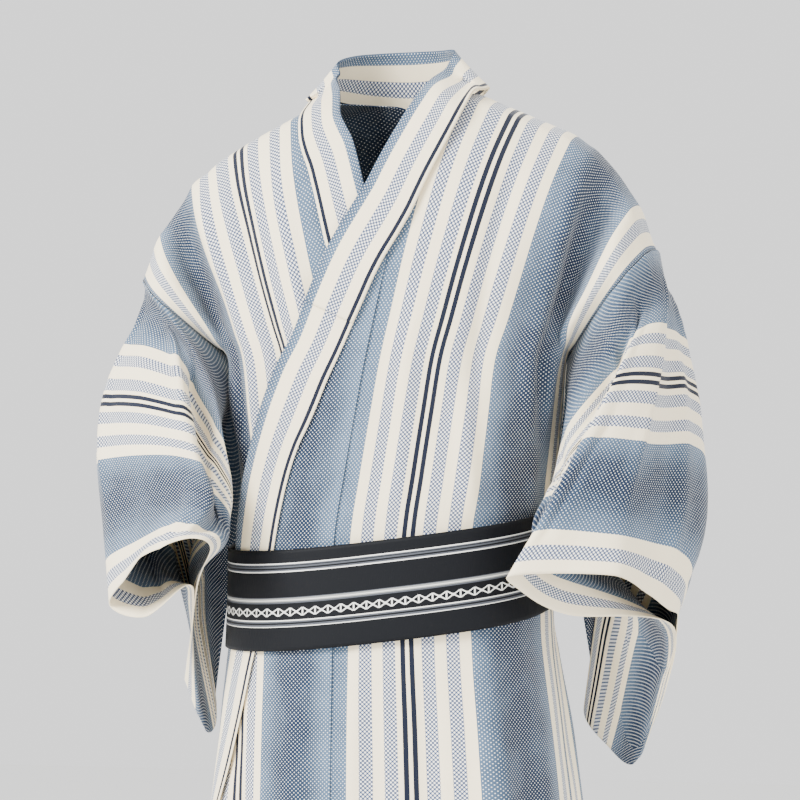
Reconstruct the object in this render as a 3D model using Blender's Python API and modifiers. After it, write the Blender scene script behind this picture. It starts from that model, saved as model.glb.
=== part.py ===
"""A cotton yukata robe with its obi belt, worn and held in its worn shape.

Metres, +Z up. The front faces -Y and the wearer's left is +X. The origin is where the robe is held,
between the shoulders at the level of the base of the neck.
"""

import math

import bpy
import numpy as np

CLOTH = 0.0015          # wall of the body, overlap panels and sleeves
COLLAR_WALL = 0.0015    # the collar, under the over-collar
OBI_WALL = 0.0020
SEAM_GAP = 0.0003       # between one piece and the next
LAYER = 0.0105          # the left front lies this far outside the right front
OVER_COLLAR_GAP = 0.0011  # the over-collar lies this far off the collar
OVER_COLLAR_END = -0.225  # level of the over-collar's sewn ends

ARM_LEVEL = -0.25       # below this level the body is a tube round the trunk
FRONT_WIDTH = 0.281     # overlap seam to sleeve seam
BACK_WIDTH = 0.300      # centre back to sleeve seam
OVERLAP_WIDTH = 0.150   # the overlap panel at the hem
SEAM_LAP = 0.005
SEAM_HALF = SEAM_GAP / 2
NECK_EDGE = 0.055       # the front's neck edge lies at most this far from the overlap seam
BACK_NECK_EDGE = 0.050  # the same at the shoulder line, going back
BACK_NECK_DOWN = 0.20   # share of the way down the back at which the neck edge reaches centre back
ROUNDNESS = 2.5         # exponent of the trunk's rings
RING_STEPS = 241
CHEST_DROP = 0.20       # below the shoulder line by this much, the chest has its full depth
CHEST_POWER = 0.38
NECK_RISE = 0.26        # from ARM_LEVEL to the shoulder line at the neck
ARM_START = 0.165       # across the cloth, where the chest passes into the upper arm
ARM_BULGE = 0.070
VALLEY = (0.205, 0.020, 0.020)  # the dent between chest and arm: where, half width, depth
LEFT_LAYER_ENDS = (0.55, 1.40)     # angles from centre front
RIGHT_LAYER_STARTS = (0.10, 0.60)
SHOULDER_TILT = 0.045   # the left shoulder is a little higher
VIEW_TURN = math.radians(12)  # the sleeves' sections are given as seen from this far to the left

OBI_WIDTH = 0.098
OBI_LEVEL = -0.474
OBI_SIDE_SLOPE = 0.13
OBI_BACK_RISE = 0.10
OBI_DEPTH = 0.235         # of the belt, front to back
OBI_OUT_FRONT = 0.0184   # clears the collar and the fronts under the belt
OBI_OUT_BACK = 0.0045
OBI_LEFT_ENDS = (0.55, 1.45)   # angles over which the front's clearance falls to the back's
OBI_RIGHT_ENDS = (1.33, 1.80)
KNOT_STAND = 0.0022            # between the belt and the strips of its knot
KNOT_WALL = 0.0025
KNOT_GAP = 0.0008

# Rows of the grids: levels below the arms, and shares of the way down from the shoulder line to ARM_LEVEL
LOW_LEVELS = np.array([-0.25, -0.30, -0.36, -0.42, -0.48, -0.54, -0.62, -0.72, -0.86, -1.02, -1.20, -1.38])
TOP_DOWNS = np.array([0.0, 0.12, 0.22, 0.42, 0.58, 0.76, 0.90])
BODY_COLUMNS = 14
OVERLAP_COLUMNS = 6
OVERLAP_FULL_BELOW = -0.70   # the overlap panel has its full width below this level

# Rings of the trunk: level, half width, front depth, back depth
TRUNK = np.array([
    (0.060, 0.300, 0.090, 0.100),
    (-0.060, 0.270, 0.106, 0.112),
    (-0.120, 0.222, 0.114, 0.120),
    (-0.180, 0.186, 0.118, 0.124),
    (-0.250, 0.168, 0.120, 0.124),
    (-0.340, 0.160, 0.118, 0.118),
    (-0.430, 0.151, 0.116, 0.112),
    (-0.520, 0.152, 0.116, 0.116),
    (-0.600, 0.162, 0.123, 0.130),
    (-0.700, 0.173, 0.131, 0.142),
    (-0.950, 0.184, 0.138, 0.148),
    (-1.380, 0.190, 0.146, 0.152),
])

# The shoulder line: distance across the cloth from the overlap seam, x, z
SHOULDER = np.array([
    (-0.150, -0.105, 0.030),
    (0.000, 0.045, 0.016),
    (0.040, 0.084, 0.008),
    (0.078, 0.123, -0.010),
    (0.138, 0.176, -0.037),
    (0.190, 0.214, -0.070),
    (0.238, 0.240, -0.110),
    (0.281, 0.256, -0.155),
])

# The overlap seam on the front: level, x
OVERLAP_SEAM = np.array([
    (0.020, 0.045), (-0.157, 0.009), (-0.250, -0.0105), (-0.333, -0.0266),
    (-0.434, -0.043), (-0.700, -0.043), (-1.380, -0.048),
])

# Folds of the skirt and the blouse above the belt: angle from the front, half width, depth, top, bottom
FOLDS = np.array([
    (0.62, 0.10, 0.0050, -0.56, -1.50),
    (1.18, 0.12, 0.0070, -0.58, -1.50),
    (1.75, 0.14, 0.0060, -0.60, -1.50),
    (2.60, 0.16, 0.0070, -0.60, -1.50),
    (-1.02, 0.13, 0.0050, -0.60, -1.50),
    (-1.95, 0.14, 0.0060, -0.58, -1.50),
    (-2.75, 0.16, 0.0070, -0.62, -1.50),
    (2.20, 0.20, 0.0060, -0.12, -0.42),
    (-2.20, 0.20, 0.0060, -0.12, -0.42),
])

# The collar's edges on the left front, which lies outside: inner x, inner z, outer x, outer z
LEFT_COLLAR = np.array([
    (0.0460, 0.036, 0.0830, 0.004),
    (0.0246, -0.007, 0.0700, -0.031),
    (0.0032, -0.051, 0.0505, -0.076),
    (-0.0126, -0.087, 0.0340, -0.116),
    (-0.0400, -0.136, 0.0085, -0.161),
    (-0.0590, -0.178, -0.0105, -0.202),
    (-0.0850, -0.241, -0.0360, -0.258),
    (-0.1055, -0.292, -0.0555, -0.305),
    (-0.1220, -0.348, -0.0740, -0.346),
    (-0.1330, -0.400, -0.0880, -0.400),
    (-0.1440, -0.500, -0.1060, -0.500),
    (-0.1600, -0.600, -0.1280, -0.600),
    (-0.1715, -0.690, -0.1480, -0.690),
])

# The collar's edges on the right front, which lies inside
RIGHT_COLLAR = np.array([
    (-0.0610, 0.030, -0.0900, 0.002),
    (-0.0449, -0.014, -0.0847, -0.038),
    (-0.0290, -0.040, -0.0708, -0.070),
    (-0.0128, -0.085, -0.0578, -0.108),
    (0.0040, -0.130, -0.0447, -0.150),
    (0.0300, -0.190, -0.0190, -0.208),
    (0.0580, -0.245, 0.0100, -0.265),
    (0.0840, -0.300, 0.0350, -0.315),
    (0.1040, -0.350, 0.0560, -0.358),
    (0.1180, -0.400, 0.0720, -0.402),
    (0.1380, -0.500, 0.1000, -0.500),
    (0.1560, -0.600, 0.1230, -0.600),
    (0.1680, -0.690, 0.1440, -0.690),
])

# The collar round the back of the neck, left to right: inner x, y, z and outer x, y, z
NECK_COLLAR = np.array([
    (0.049, 0.001, 0.044, 0.0865, -0.012, 0.0165),
    (0.052, 0.012, 0.058, 0.085, 0.020, 0.019),
    (0.034, 0.048, 0.063, 0.052, 0.069, 0.007),
    (0.000, 0.060, 0.064, 0.000, 0.085, -0.003),
    (-0.038, 0.048, 0.061, -0.056, 0.069, 0.003),
    (-0.062, 0.012, 0.052, -0.091, 0.020, 0.012),
    (-0.0613, 0.001, 0.037, -0.0925, -0.012, 0.0090),
])

# Sections of the sleeves beyond the armhole, as across, toward the viewer and up:
# distance from the armhole, top fold, lap edge, under the lap, inner side, hang, bottom fold, outer side
LEFT_SLEEVE = [
    (0.07, (0.257, 0.070, -0.188), (0.238, 0.098, -0.198), (0.205, 0.122, -0.235), (0.162, 0.092, -0.295),
     (0.207, 0.000, -0.380), (0.197, -0.045, -0.575), (0.268, 0.020, -0.225)),
    (0.14, (0.248, 0.105, -0.250), (0.212, 0.150, -0.252), (0.206, 0.118, -0.280), (0.147, 0.120, -0.370),
     (0.208, 0.005, -0.435), (0.187, -0.045, -0.608), (0.284, 0.025, -0.275)),
    (0.21, (0.232, 0.150, -0.316), (0.180, 0.190, -0.312), (0.174, 0.155, -0.345), (0.139, 0.148, -0.392),
     (0.232, 0.030, -0.480), (0.208, -0.038, -0.637), (0.298, 0.050, -0.335)),
    (0.28, (0.213, 0.185, -0.386), (0.148, 0.217, -0.376), (0.142, 0.190, -0.400), (0.131, 0.176, -0.424),
     (0.258, 0.060, -0.510), (0.236, -0.030, -0.657), (0.294, 0.095, -0.408)),
    (0.35, (0.197, 0.207, -0.455), (0.107, 0.215, -0.453), (0.112, 0.192, -0.468), (0.160, 0.155, -0.494),
     (0.266, 0.105, -0.508), (0.256, 0.000, -0.606), (0.252, 0.160, -0.487)),
]
RIGHT_SLEEVE = [
    (0.07, (-0.262, -0.030, -0.205), (-0.232, 0.008, -0.215), (-0.200, 0.040, -0.255),
     (-0.176, 0.045, -0.310),
     (-0.205, -0.060, -0.380), (-0.190, -0.105, -0.578), (-0.252, -0.085, -0.230)),
    (0.14, (-0.292, -0.010, -0.270), (-0.214, 0.074, -0.282), (-0.204, 0.036, -0.305),
     (-0.165, 0.066, -0.375),
     (-0.214, -0.060, -0.430), (-0.190, -0.105, -0.606), (-0.268, -0.080, -0.310)),
    (0.21, (-0.299, 0.020, -0.335), (-0.204, 0.106, -0.336), (-0.194, 0.070, -0.360), (-0.165, 0.090, -0.402),
     (-0.220, -0.040, -0.460), (-0.192, -0.102, -0.628), (-0.270, -0.050, -0.385)),
    (0.28, (-0.289, 0.055, -0.410), (-0.189, 0.142, -0.386), (-0.179, 0.112, -0.406), (-0.167, 0.118, -0.426),
     (-0.214, 0.010, -0.480), (-0.202, -0.095, -0.628), (-0.262, 0.005, -0.450)),
    (0.35, (-0.282, 0.085, -0.486), (-0.235, 0.152, -0.437), (-0.200, 0.168, -0.421), (-0.180, 0.155, -0.430),
     (-0.200, 0.080, -0.472), (-0.220, -0.070, -0.576), (-0.248, 0.090, -0.500)),
]
HANG_SPREAD = (0.016, 0.020, 0.018, 0.012, 0.0045)  # between a sleeve's two hanging sheets, by section
ARMHOLE_BOTTOM = -0.360
SLEEVE_STAND = 0.0024     # between a sleeve's first ring and the body's outer face
SLIT_HALF = 0.0015        # half the gap between a sleeve's two sheets below the armpit
STAND_LEVELS = (-0.06, 0.05)  # the collar begins to stand off the shoulder between these levels
STAND_OUT = 0.0045
STAND_LEAN = 0.0040
COLLAR_OFF = 0.0048      # from the cloth's inner face to the collar's


def clear_scene():
    """Remove whatever the file starts with."""
    for thing in list(bpy.data.objects):
        bpy.data.objects.remove(thing, do_unlink=True)


def cloth_material(name, color, roughness):
    """One plain cloth material."""
    material = bpy.data.materials.new(name)
    material.use_nodes = True
    shader = material.node_tree.nodes["Principled BSDF"]
    shader.inputs["Base Color"].default_value = (*color, 1.0)
    shader.inputs["Roughness"].default_value = roughness
    shader.inputs["Metallic"].default_value = 0.0
    return material


def curve(at, knots, values):
    """A smooth curve through values at knots: cubic pieces whose slopes come from the neighbouring points."""
    at = np.atleast_1d(np.asarray(at, float))
    knots = np.asarray(knots, float)
    values = np.asarray(values, float)
    flat = values.reshape(len(knots), -1)
    slope = np.gradient(flat, knots, axis=0)
    place = np.clip(np.searchsorted(knots, at, side="right") - 1, 0, len(knots) - 2)
    span = (knots[place + 1] - knots[place])[:, None]
    f = np.clip((at[:, None] - knots[place][:, None]) / span, 0.0, 1.0)
    low = (1 + 2 * f) * (1 - f) ** 2 * flat[place] + f * (1 - f) ** 2 * span * slope[place]
    high = f * f * (3 - 2 * f) * flat[place + 1] + f * f * (f - 1) * span * slope[place + 1]
    return (low + high).reshape((len(at),) + values.shape[1:])


def smooth_step(value, low, high):
    """0 below low, 1 above high, and a smooth rise between."""
    f = np.clip((value - low) / (high - low), 0.0, 1.0)
    return f * f * (3 - 2 * f)


def trunk_at(level):
    """Half width, front depth and back depth of the trunk at a level, which may be an array."""
    order = TRUNK[::-1]
    return [np.interp(level, order[:, 0], order[:, k]) for k in (1, 2, 3)]


def fold_depth(angle, level):
    """How far the folds push the cloth out at an angle from the front and a level."""
    total = np.zeros(np.broadcast(angle, level).shape)
    for middle, width, depth, top, bottom in FOLDS:
        ends = smooth_step(-level, -top, -top + 0.12) * smooth_step(level, bottom, bottom + 0.10)
        total = total + depth * np.exp(-((angle - middle) / width) ** 2) * ends
    return total


def ring_at(level):
    """Half a ring of the trunk from centre front to centre back: arc length, x, y and angle."""
    half, front, back = (float(value) for value in trunk_at(level))
    angle = np.linspace(0.0, math.pi, RING_STEPS)
    power = 2.0 / ROUNDNESS
    x = half * np.sin(angle) ** power
    depth = np.where(angle < math.pi / 2, front, back)
    y = -depth * np.sign(np.cos(angle)) * np.abs(np.cos(angle)) ** power
    arc = np.concatenate([[0.0], np.cumsum(np.hypot(np.diff(x), np.diff(y)))])
    return arc, x, y, angle


def ring_points(level, arc, out):
    """Points on the trunk at a level and signed arcs from centre front, moved out by out and the folds."""
    table, x, y, angle = ring_at(level)
    sign = np.where(arc < 0, -1.0, 1.0)
    px = np.interp(np.abs(arc), table, x) * sign
    py = np.interp(np.abs(arc), table, y)
    ahead_x = np.interp(np.abs(arc) + 0.002, table, x) - np.interp(np.abs(arc) - 0.002, table, x)
    ahead_y = np.interp(np.abs(arc) + 0.002, table, y) - np.interp(np.abs(arc) - 0.002, table, y)
    length = np.hypot(ahead_x, ahead_y) + 1e-9
    turn = np.interp(np.abs(arc), table, angle) * sign
    push = out + fold_depth(turn, np.full(arc.shape, level))
    return np.stack([px - push * ahead_y / length * -sign, py - push * ahead_x / length,
                     np.full(arc.shape, level)], axis=-1)


def side_arc(level):
    """Arc length from centre front to the side seam."""
    arc, _, _, angle = ring_at(level)
    return float(np.interp(math.pi / 2, angle, arc))


def back_arc(level):
    """Arc length from centre front to centre back."""
    return float(ring_at(level)[0][-1])


def arc_of_x(level, x):
    """Signed arc length on the front half of a ring, at x."""
    arc, ring_x, _, angle = ring_at(level)
    front = angle <= math.pi / 2
    return float(np.sign(x) * np.interp(abs(x), ring_x[front], arc[front]))


def shoulder_x(across):
    return np.interp(across, SHOULDER[:, 0], SHOULDER[:, 1])


def shoulder_z(across):
    return np.interp(across, SHOULDER[:, 0], SHOULDER[:, 2])


def front_layer(side, turn):
    """How far a front lies off the trunk: the left one passes outside, the right one inside."""
    if side > 0:
        return LAYER * (1 - smooth_step(turn, *LEFT_LAYER_ENDS))
    return -LAYER * smooth_step(turn, *RIGHT_LAYER_STARTS)


def top_depth(x, level, sign):
    """Depth of the chest (sign 0) or back (sign 1) between the shoulder line and the trunk's full depth."""
    half, front, back = trunk_at(level)
    full = back if sign else front
    ring = full * (1 - np.clip(np.abs(x) / half, 0, 0.985) ** ROUNDNESS) ** (1 / ROUNDNESS)
    line = np.interp(np.abs(x), SHOULDER[1:, 1], SHOULDER[1:, 2])
    down = np.clip((line - level) / CHEST_DROP, 0.0, 1.0)
    return ring * (1 - (1 - down) ** 2) ** CHEST_POWER


def front_angle(x, level):
    """The trunk's own angle from centre front at x and a level."""
    share = np.clip(np.abs(x) / trunk_at(level)[0], 0.0, 1.0)
    return np.arcsin(share ** (ROUNDNESS / 2)) * np.sign(x)


def front_arc(side, across, level):
    """Signed arc of a front at a level, for distances across its cloth from the overlap seam."""
    seam = float(np.interp(level, OVERLAP_SEAM[::-1, 0], OVERLAP_SEAM[::-1, 1]))
    start = arc_of_x(level, seam)
    scale = (side_arc(level) - start) / FRONT_WIDTH
    return np.where(across < 0, start + across, start + across * scale)


def front_row(side, across, level):
    """One row of a front below the arms. The row is made for the left and mirrored for the right."""
    arc = front_arc(side, across, level)
    table, _, _, angle = ring_at(level)
    turn = np.interp(np.abs(arc), table, angle) * np.sign(arc)
    out = front_layer(side, turn * side)
    return ring_points(level, arc * side, out)


def back_row(side, across, level):
    """One row of a back below the arms, from centre back to the side seam."""
    from_back = (across - (FRONT_WIDTH - BACK_WIDTH)) / BACK_WIDTH
    arc = back_arc(level) - from_back * (back_arc(level) - side_arc(level))
    return ring_points(level, arc * side, np.zeros(arc.shape))


def top_row(side, across, down, back):
    """One row between the shoulder line (down 0) and the level of the armpit (down 1)."""
    c = math.cos(down * math.pi / 2)
    if back:
        low = back_row(side, across, ARM_LEVEL)
        line_x = np.interp(across, [FRONT_WIDTH - BACK_WIDTH, 0.04], [0.0, 0.084])
        line_x = np.where(across > 0.04, shoulder_x(across), line_x)
    else:
        low = front_row(side, across, ARM_LEVEL)
        line_x = shoulder_x(across)
    line_z = shoulder_z(across)
    x = low[:, 0] * side * (1 - c) + line_x * c
    z = ARM_LEVEL + (line_z - ARM_LEVEL) * c
    facing = 1.0 if back else -1.0
    chest = facing * top_depth(x, z, back)
    arm = low[:, 1] * math.sin(down * math.pi / 2) + facing * ARM_BULGE * math.sin(down * math.pi) ** 0.8
    blend = smooth_step(across, ARM_START, FRONT_WIDTH)
    y = chest * (1 - blend) + arm * blend
    valley = VALLEY[2] * math.sin(down * math.pi) * np.exp(-((across - VALLEY[0]) / VALLEY[1]) ** 2)
    y = y - facing * valley
    if not back:
        turn = front_angle(x, z)
        y = y - front_layer(side, turn * side) * (1 - c ** 3) * (1 - blend)
    return np.stack([x * side, y, z + SHOULDER_TILT * x * side * c], axis=-1)


def collar_middle(table, level):
    """x of the middle of the collar on a front at a level."""
    z = (table[:, 1] + table[:, 3]) / 2
    x = (table[:, 0] + table[:, 2]) / 2
    return np.interp(level, z[::-1], x[::-1])


def inner_edge(side, row):
    """Where a row made by row(across) passes under the middle of the collar."""
    table = LEFT_COLLAR if side > 0 else RIGHT_COLLAR
    across = np.linspace(-OVERLAP_WIDTH, 0.12, 109)
    points = row(across)
    past = (points[:, 0] - collar_middle(table, points[:, 2])) * side
    inside = np.nonzero(past > 0)[0]
    return float(across[inside[0]]) if len(inside) else 0.12


def mesh_object(name, points, wall, material, collection, closed=False, flip=False, levels=None):
    """A wall over a grid of points: rows by columns, Solidify on the side the faces point to."""
    rows, columns = points.shape[:2]
    index = np.arange(rows * columns).reshape(rows, columns)
    if closed:
        index = np.concatenate([index, index[:, :1]], axis=1)
    corners = [index[:-1, :-1], index[:-1, 1:], index[1:, 1:], index[1:, :-1]]
    if flip:
        corners = corners[::-1]
    faces = np.stack(corners, axis=-1).reshape(-1, 4)
    mesh = bpy.data.meshes.new(name)
    mesh.from_pydata(points.reshape(-1, 3).tolist(), [], faces.tolist())
    mesh.update()
    mesh.shade_smooth()
    mesh.materials.append(material)
    piece = bpy.data.objects.new(name, mesh)
    collection.objects.link(piece)
    solid = piece.modifiers.new("Wall", "SOLIDIFY")
    solid.thickness = wall
    solid.offset = 1.0
    return piece


def body_panel(side, columns=BODY_COLUMNS):
    """A body panel in one length: front hem, over the shoulder, back hem."""
    share = np.linspace(0.0, 1.0, columns)
    rows = []
    for level in LOW_LEVELS[::-1]:
        rows.append(front_row(side, share * FRONT_WIDTH, level))
        rows[-1][:, 1] -= SEAM_HALF * (share == 1.0)
    for down in TOP_DOWNS[::-1]:
        start = max(0.0, inner_edge(side, lambda across, down=down: top_row(side, across, down, False)))
        start = min(start, NECK_EDGE)
        rows.append(top_row(side, start + share * (FRONT_WIDTH - start), down, False))
    for down in TOP_DOWNS[1:]:
        start = float(np.interp(down, [0.0, BACK_NECK_DOWN], [BACK_NECK_EDGE, FRONT_WIDTH - BACK_WIDTH]))
        rows.append(top_row(side, start + share * (FRONT_WIDTH - start), down, True))
    for level in LOW_LEVELS:
        start = FRONT_WIDTH - BACK_WIDTH
        rows.append(back_row(side, start + share * BACK_WIDTH, level))
        rows[-1][:, 1] += SEAM_HALF * (share == 1.0)
    return np.array(rows)


def part_at_centre_back(points, side):
    """Keep the centre back edge just on its own side."""
    x = points[..., 0] * side
    points[..., 0] = np.where((x < SEAM_HALF) & (points[..., 1] > 0), SEAM_HALF, x) * side
    return points


def overlap_row(row, edge):
    """A row of an overlap panel: its lap on the front's first strip, its seam, and on to its free edge."""
    strip = row(np.array([0.0, FRONT_WIDTH / (BODY_COLUMNS - 1)]))
    lap = strip[0] + (strip[1] - strip[0]) * SEAM_LAP * (BODY_COLUMNS - 1) / FRONT_WIDTH
    return np.concatenate([lap[None], row(np.linspace(0.0, edge, OVERLAP_COLUMNS))])


def overlap_panel(side):
    """An overlap panel: from its seam on the front to its free edge, cut off by the collar above."""
    rows = []
    for level in LOW_LEVELS[::-1]:
        def row(across, level=level):
            return front_row(side, across, level)
        edge = -OVERLAP_WIDTH if level < OVERLAP_FULL_BELOW else max(-OVERLAP_WIDTH, inner_edge(side, row))
        rows.append(overlap_row(row, edge))
    for down in (0.90, 0.76):
        def row(across, down=down):
            return top_row(side, across, down, False)
        rows.append(overlap_row(row, min(inner_edge(side, row), -0.006)))
    return np.array(rows)


def moved_out(points, distance, flip):
    """A grid moved along its own normals."""
    along = np.gradient(points, axis=0)
    across = np.gradient(points, axis=1)
    normal = np.cross(across, along)
    normal = normal / (np.linalg.norm(normal, axis=-1, keepdims=True) + 1e-12)
    return points + normal * distance * (-1.0 if flip else 1.0)


def front_surface(side, x, z, off):
    """Points over a front at x and z, off from the cloth's inner face along its normal."""
    out = []
    for px, pz in zip(x, z):
        lift = float(front_layer(side, front_angle(px, pz)))
        if pz <= ARM_LEVEL:
            out.append(ring_points(pz, np.array([arc_of_x(pz, px)]), lift + off)[0])
            continue
        c = np.clip((pz - ARM_LEVEL) / NECK_RISE, 0.0, 1.0)
        level = pz - SHOULDER_TILT * px * c
        deep = float(top_depth(np.array([px]), np.array([level]), 0)[0])
        steeper = float(top_depth(np.array([px]), np.array([level - 0.002]), 0)[0])
        slope = (steeper - deep) / 0.002
        length = math.hypot(1.0, slope)
        out.append((px, -deep - lift * (1 - c ** 3) - off / length, pz + off * slope / length))
    return np.array(out)


def collar_rows(columns=4):
    """Rows of the collar from the lower left end, round the neck, to the lower right end."""
    across = np.linspace(0.0, 1.0, columns)
    rows = []
    fine = np.linspace(0, len(LEFT_COLLAR) - 1, 26)
    left = curve(fine, np.arange(len(LEFT_COLLAR)), LEFT_COLLAR)
    right = curve(fine, np.arange(len(RIGHT_COLLAR)), RIGHT_COLLAR)
    for table, side in ((left[::-1], 1), (None, 0), (right, -1)):
        if table is None:
            steps = np.linspace(0, len(NECK_COLLAR) - 1, 9)
            for entry in curve(steps, np.arange(len(NECK_COLLAR)), NECK_COLLAR):
                rows.append(entry[None, :3] * (1 - across[:, None]) + entry[None, 3:] * across[:, None])
            continue
        for entry in table:
            x = entry[0] + (entry[2] - entry[0]) * across
            z = entry[1] + (entry[3] - entry[1]) * across
            stand = smooth_step(entry[1], *STAND_LEVELS)
            points = front_surface(side, x, z, COLLAR_OFF + STAND_OUT * stand)
            points[:, 1] -= STAND_LEAN * stand * (1 - across)
            rows.append(points)
    return np.array(rows)


def over_collar_rows(band):
    """The rows of the collar that the over-collar covers, between its two sewn ends."""
    low = band[:, :, 2].mean(axis=1) < OVER_COLLAR_END
    covered = np.nonzero(~low)[0]
    return band[covered[0]:covered[-1] + 1]


def seen_to_model(point):
    """From across, toward the viewer and up, as seen VIEW_TURN to the left, to x, y, z."""
    across, toward, up = point
    return np.array([
        across * math.cos(VIEW_TURN) + toward * math.sin(VIEW_TURN),
        across * math.sin(VIEW_TURN) - toward * math.cos(VIEW_TURN),
        up,
    ])


def section_knots(section, spread):
    """The closed section through its named points, as eight knots."""
    top, edge, under, inner, hang, bottom, outer = (seen_to_model(point) for point in section[1:])
    apart = np.cross(bottom - hang, inner - outer)
    apart = np.cross(bottom - hang, apart)
    apart = apart / np.linalg.norm(apart) * spread / 2
    if np.dot(apart, inner - outer) < 0:
        apart = -apart
    return np.array([top, edge, under, inner, hang + apart, bottom, hang - apart, outer])


def armhole(side):
    """The body's sleeve edge, down the front and up the back, as places from 0 to 8 and points."""
    panel = body_panel(side)
    outside = moved_out(panel, CLOTH + SLEEVE_STAND, flip=side < 0)[:, -1]
    low = len(LOW_LEVELS)
    top = len(TOP_DOWNS)
    reach = int(np.argmin(np.abs(LOW_LEVELS - ARMHOLE_BOTTOM)))
    front = np.arange(low + top - 1, low - reach - 2, -1)
    back = np.arange(low + 2 * top - 1 + reach - 1, low + top - 1, -1)
    down = (LOW_LEVELS[1:reach + 1] - ARM_LEVEL) / (ARMHOLE_BOTTOM - ARM_LEVEL)
    front_places = np.concatenate([3 * TOP_DOWNS, [3.0], 3 + 2 * down])
    back_places = np.concatenate([6.3 - 1.3 * down[-2::-1], [6.3], 8 - 1.7 * TOP_DOWNS[:0:-1]])
    points = np.concatenate([outside[front], outside[back]])
    places = np.concatenate([front_places, back_places])
    slit = (places >= 3.0) & (places <= 6.3)
    points[:, 1] += SLIT_HALF * slit * np.sign(places - 5.0)
    return places, points


def sleeve_grid(side, longest=0.30, along=13):
    """A sleeve: closed sections from the armhole to the open cuff."""
    table = LEFT_SLEEVE if side > 0 else RIGHT_SLEEVE
    edge_places, edge_points = armhole(side)
    ends = np.append(edge_places[1:], 8.0)
    places = []
    for low, high in zip(edge_places, ends):
        parts = math.ceil((high - low) / longest)
        places.extend(low + (high - low) * part / parts for part in range(parts))
    places = np.array(places)
    ring_places = np.append(edge_places, 8.0)
    ring_points_closed = np.concatenate([edge_points, edge_points[:1]])
    start = np.stack([np.interp(places, ring_places, ring_points_closed[:, k]) for k in range(3)], axis=1)
    sections = []
    for section, spread in zip(table, HANG_SPREAD):
        knots = section_knots(section, spread)
        closed = np.concatenate([knots[-2:], knots, knots[:3]])
        sections.append(curve(places, np.arange(-2, 11), closed))
    distances = [0.0] + [section[0] for section in table]
    steps = np.linspace(0.0, distances[-1], along)
    return curve(steps, distances, np.array([start] + sections))


def obi_rows(out_front, out_back, width, around=56, rows=3):
    """The belt: a band round the waist, lower in front and on the right, and clear of the collar."""
    table, _, _, angle = ring_at(OBI_LEVEL)
    arcs = np.linspace(-table[-1], table[-1], around, endpoint=False)
    front_y = float(ring_points(OBI_LEVEL, np.array([0.0]), 0.0)[0, 1])
    lines = []
    for row in range(rows):
        part = row / (rows - 1) - 0.5
        points = []
        for arc in arcs:
            base = ring_points(OBI_LEVEL, np.array([arc]), 0.0)[0]
            level = OBI_LEVEL + OBI_SIDE_SLOPE * base[0] + OBI_BACK_RISE * (base[1] - front_y) + part * width
            scale = arc / table[-1] * back_arc(level)
            turn = float(np.interp(abs(arc), table, angle))
            behind = smooth_step(turn, *(OBI_LEFT_ENDS if arc > 0 else OBI_RIGHT_ENDS))
            out = out_front + (out_back - out_front) * behind
            points.append(ring_points(level, np.array([scale]), np.array([out]))[0])
        lines.append(points)
    return np.array(lines)


def back_strip(path, half_width, out):
    """A flat strip on the back of the belt: a path of x and height over its middle, widened both ways."""
    path = np.array(path, float)
    ahead = np.gradient(path, axis=0)
    ahead /= np.linalg.norm(ahead, axis=1, keepdims=True)
    aside = np.stack([-ahead[:, 1], ahead[:, 0]], axis=1)
    rows = []
    for place in np.linspace(-1.0, 1.0, 4):
        row = []
        for (x, rise), off in zip(path + aside * half_width * place, out * np.ones(len(path))):
            level = OBI_LEVEL + OBI_BACK_RISE * OBI_DEPTH + OBI_SIDE_SLOPE * x + rise
            arc, ring_x, _, angle = ring_at(level)
            behind = angle >= math.pi / 2
            along = float(np.interp(abs(x), ring_x[behind][::-1], arc[behind][::-1]))
            row.append(ring_points(level, np.array([math.copysign(along, x)]), off)[0])
        rows.append(row)
    return np.array(rows)


def obi_knot():
    """A plain flat knot at centre back: two folded ends, the upper over the lower, and the wrap over both."""
    seat = OBI_OUT_BACK + OBI_WALL + KNOT_STAND
    step = KNOT_WALL + KNOT_GAP
    lower = back_strip([(-0.010, 0.010), (0.010, -0.010), (0.040, -0.034), (0.076, -0.054), (0.110, -0.068)],
                       0.023, seat)
    upper = back_strip([(0.020, -0.020), (0.000, 0.000), (-0.030, 0.031), (-0.064, 0.066), (-0.094, 0.098)],
                       0.023, seat + step * np.array([1.0, 1.0, 1.0, 0.9, 0.6]))
    wrap = back_strip([(-0.030, -0.030), (-0.022, -0.022), (0.000, 0.000), (0.022, 0.022), (0.030, 0.030)],
                      0.026, seat + 2 * step * np.array([0.0, 1.0, 1.0, 1.0, 0.0]))
    return wrap, upper, lower


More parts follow.
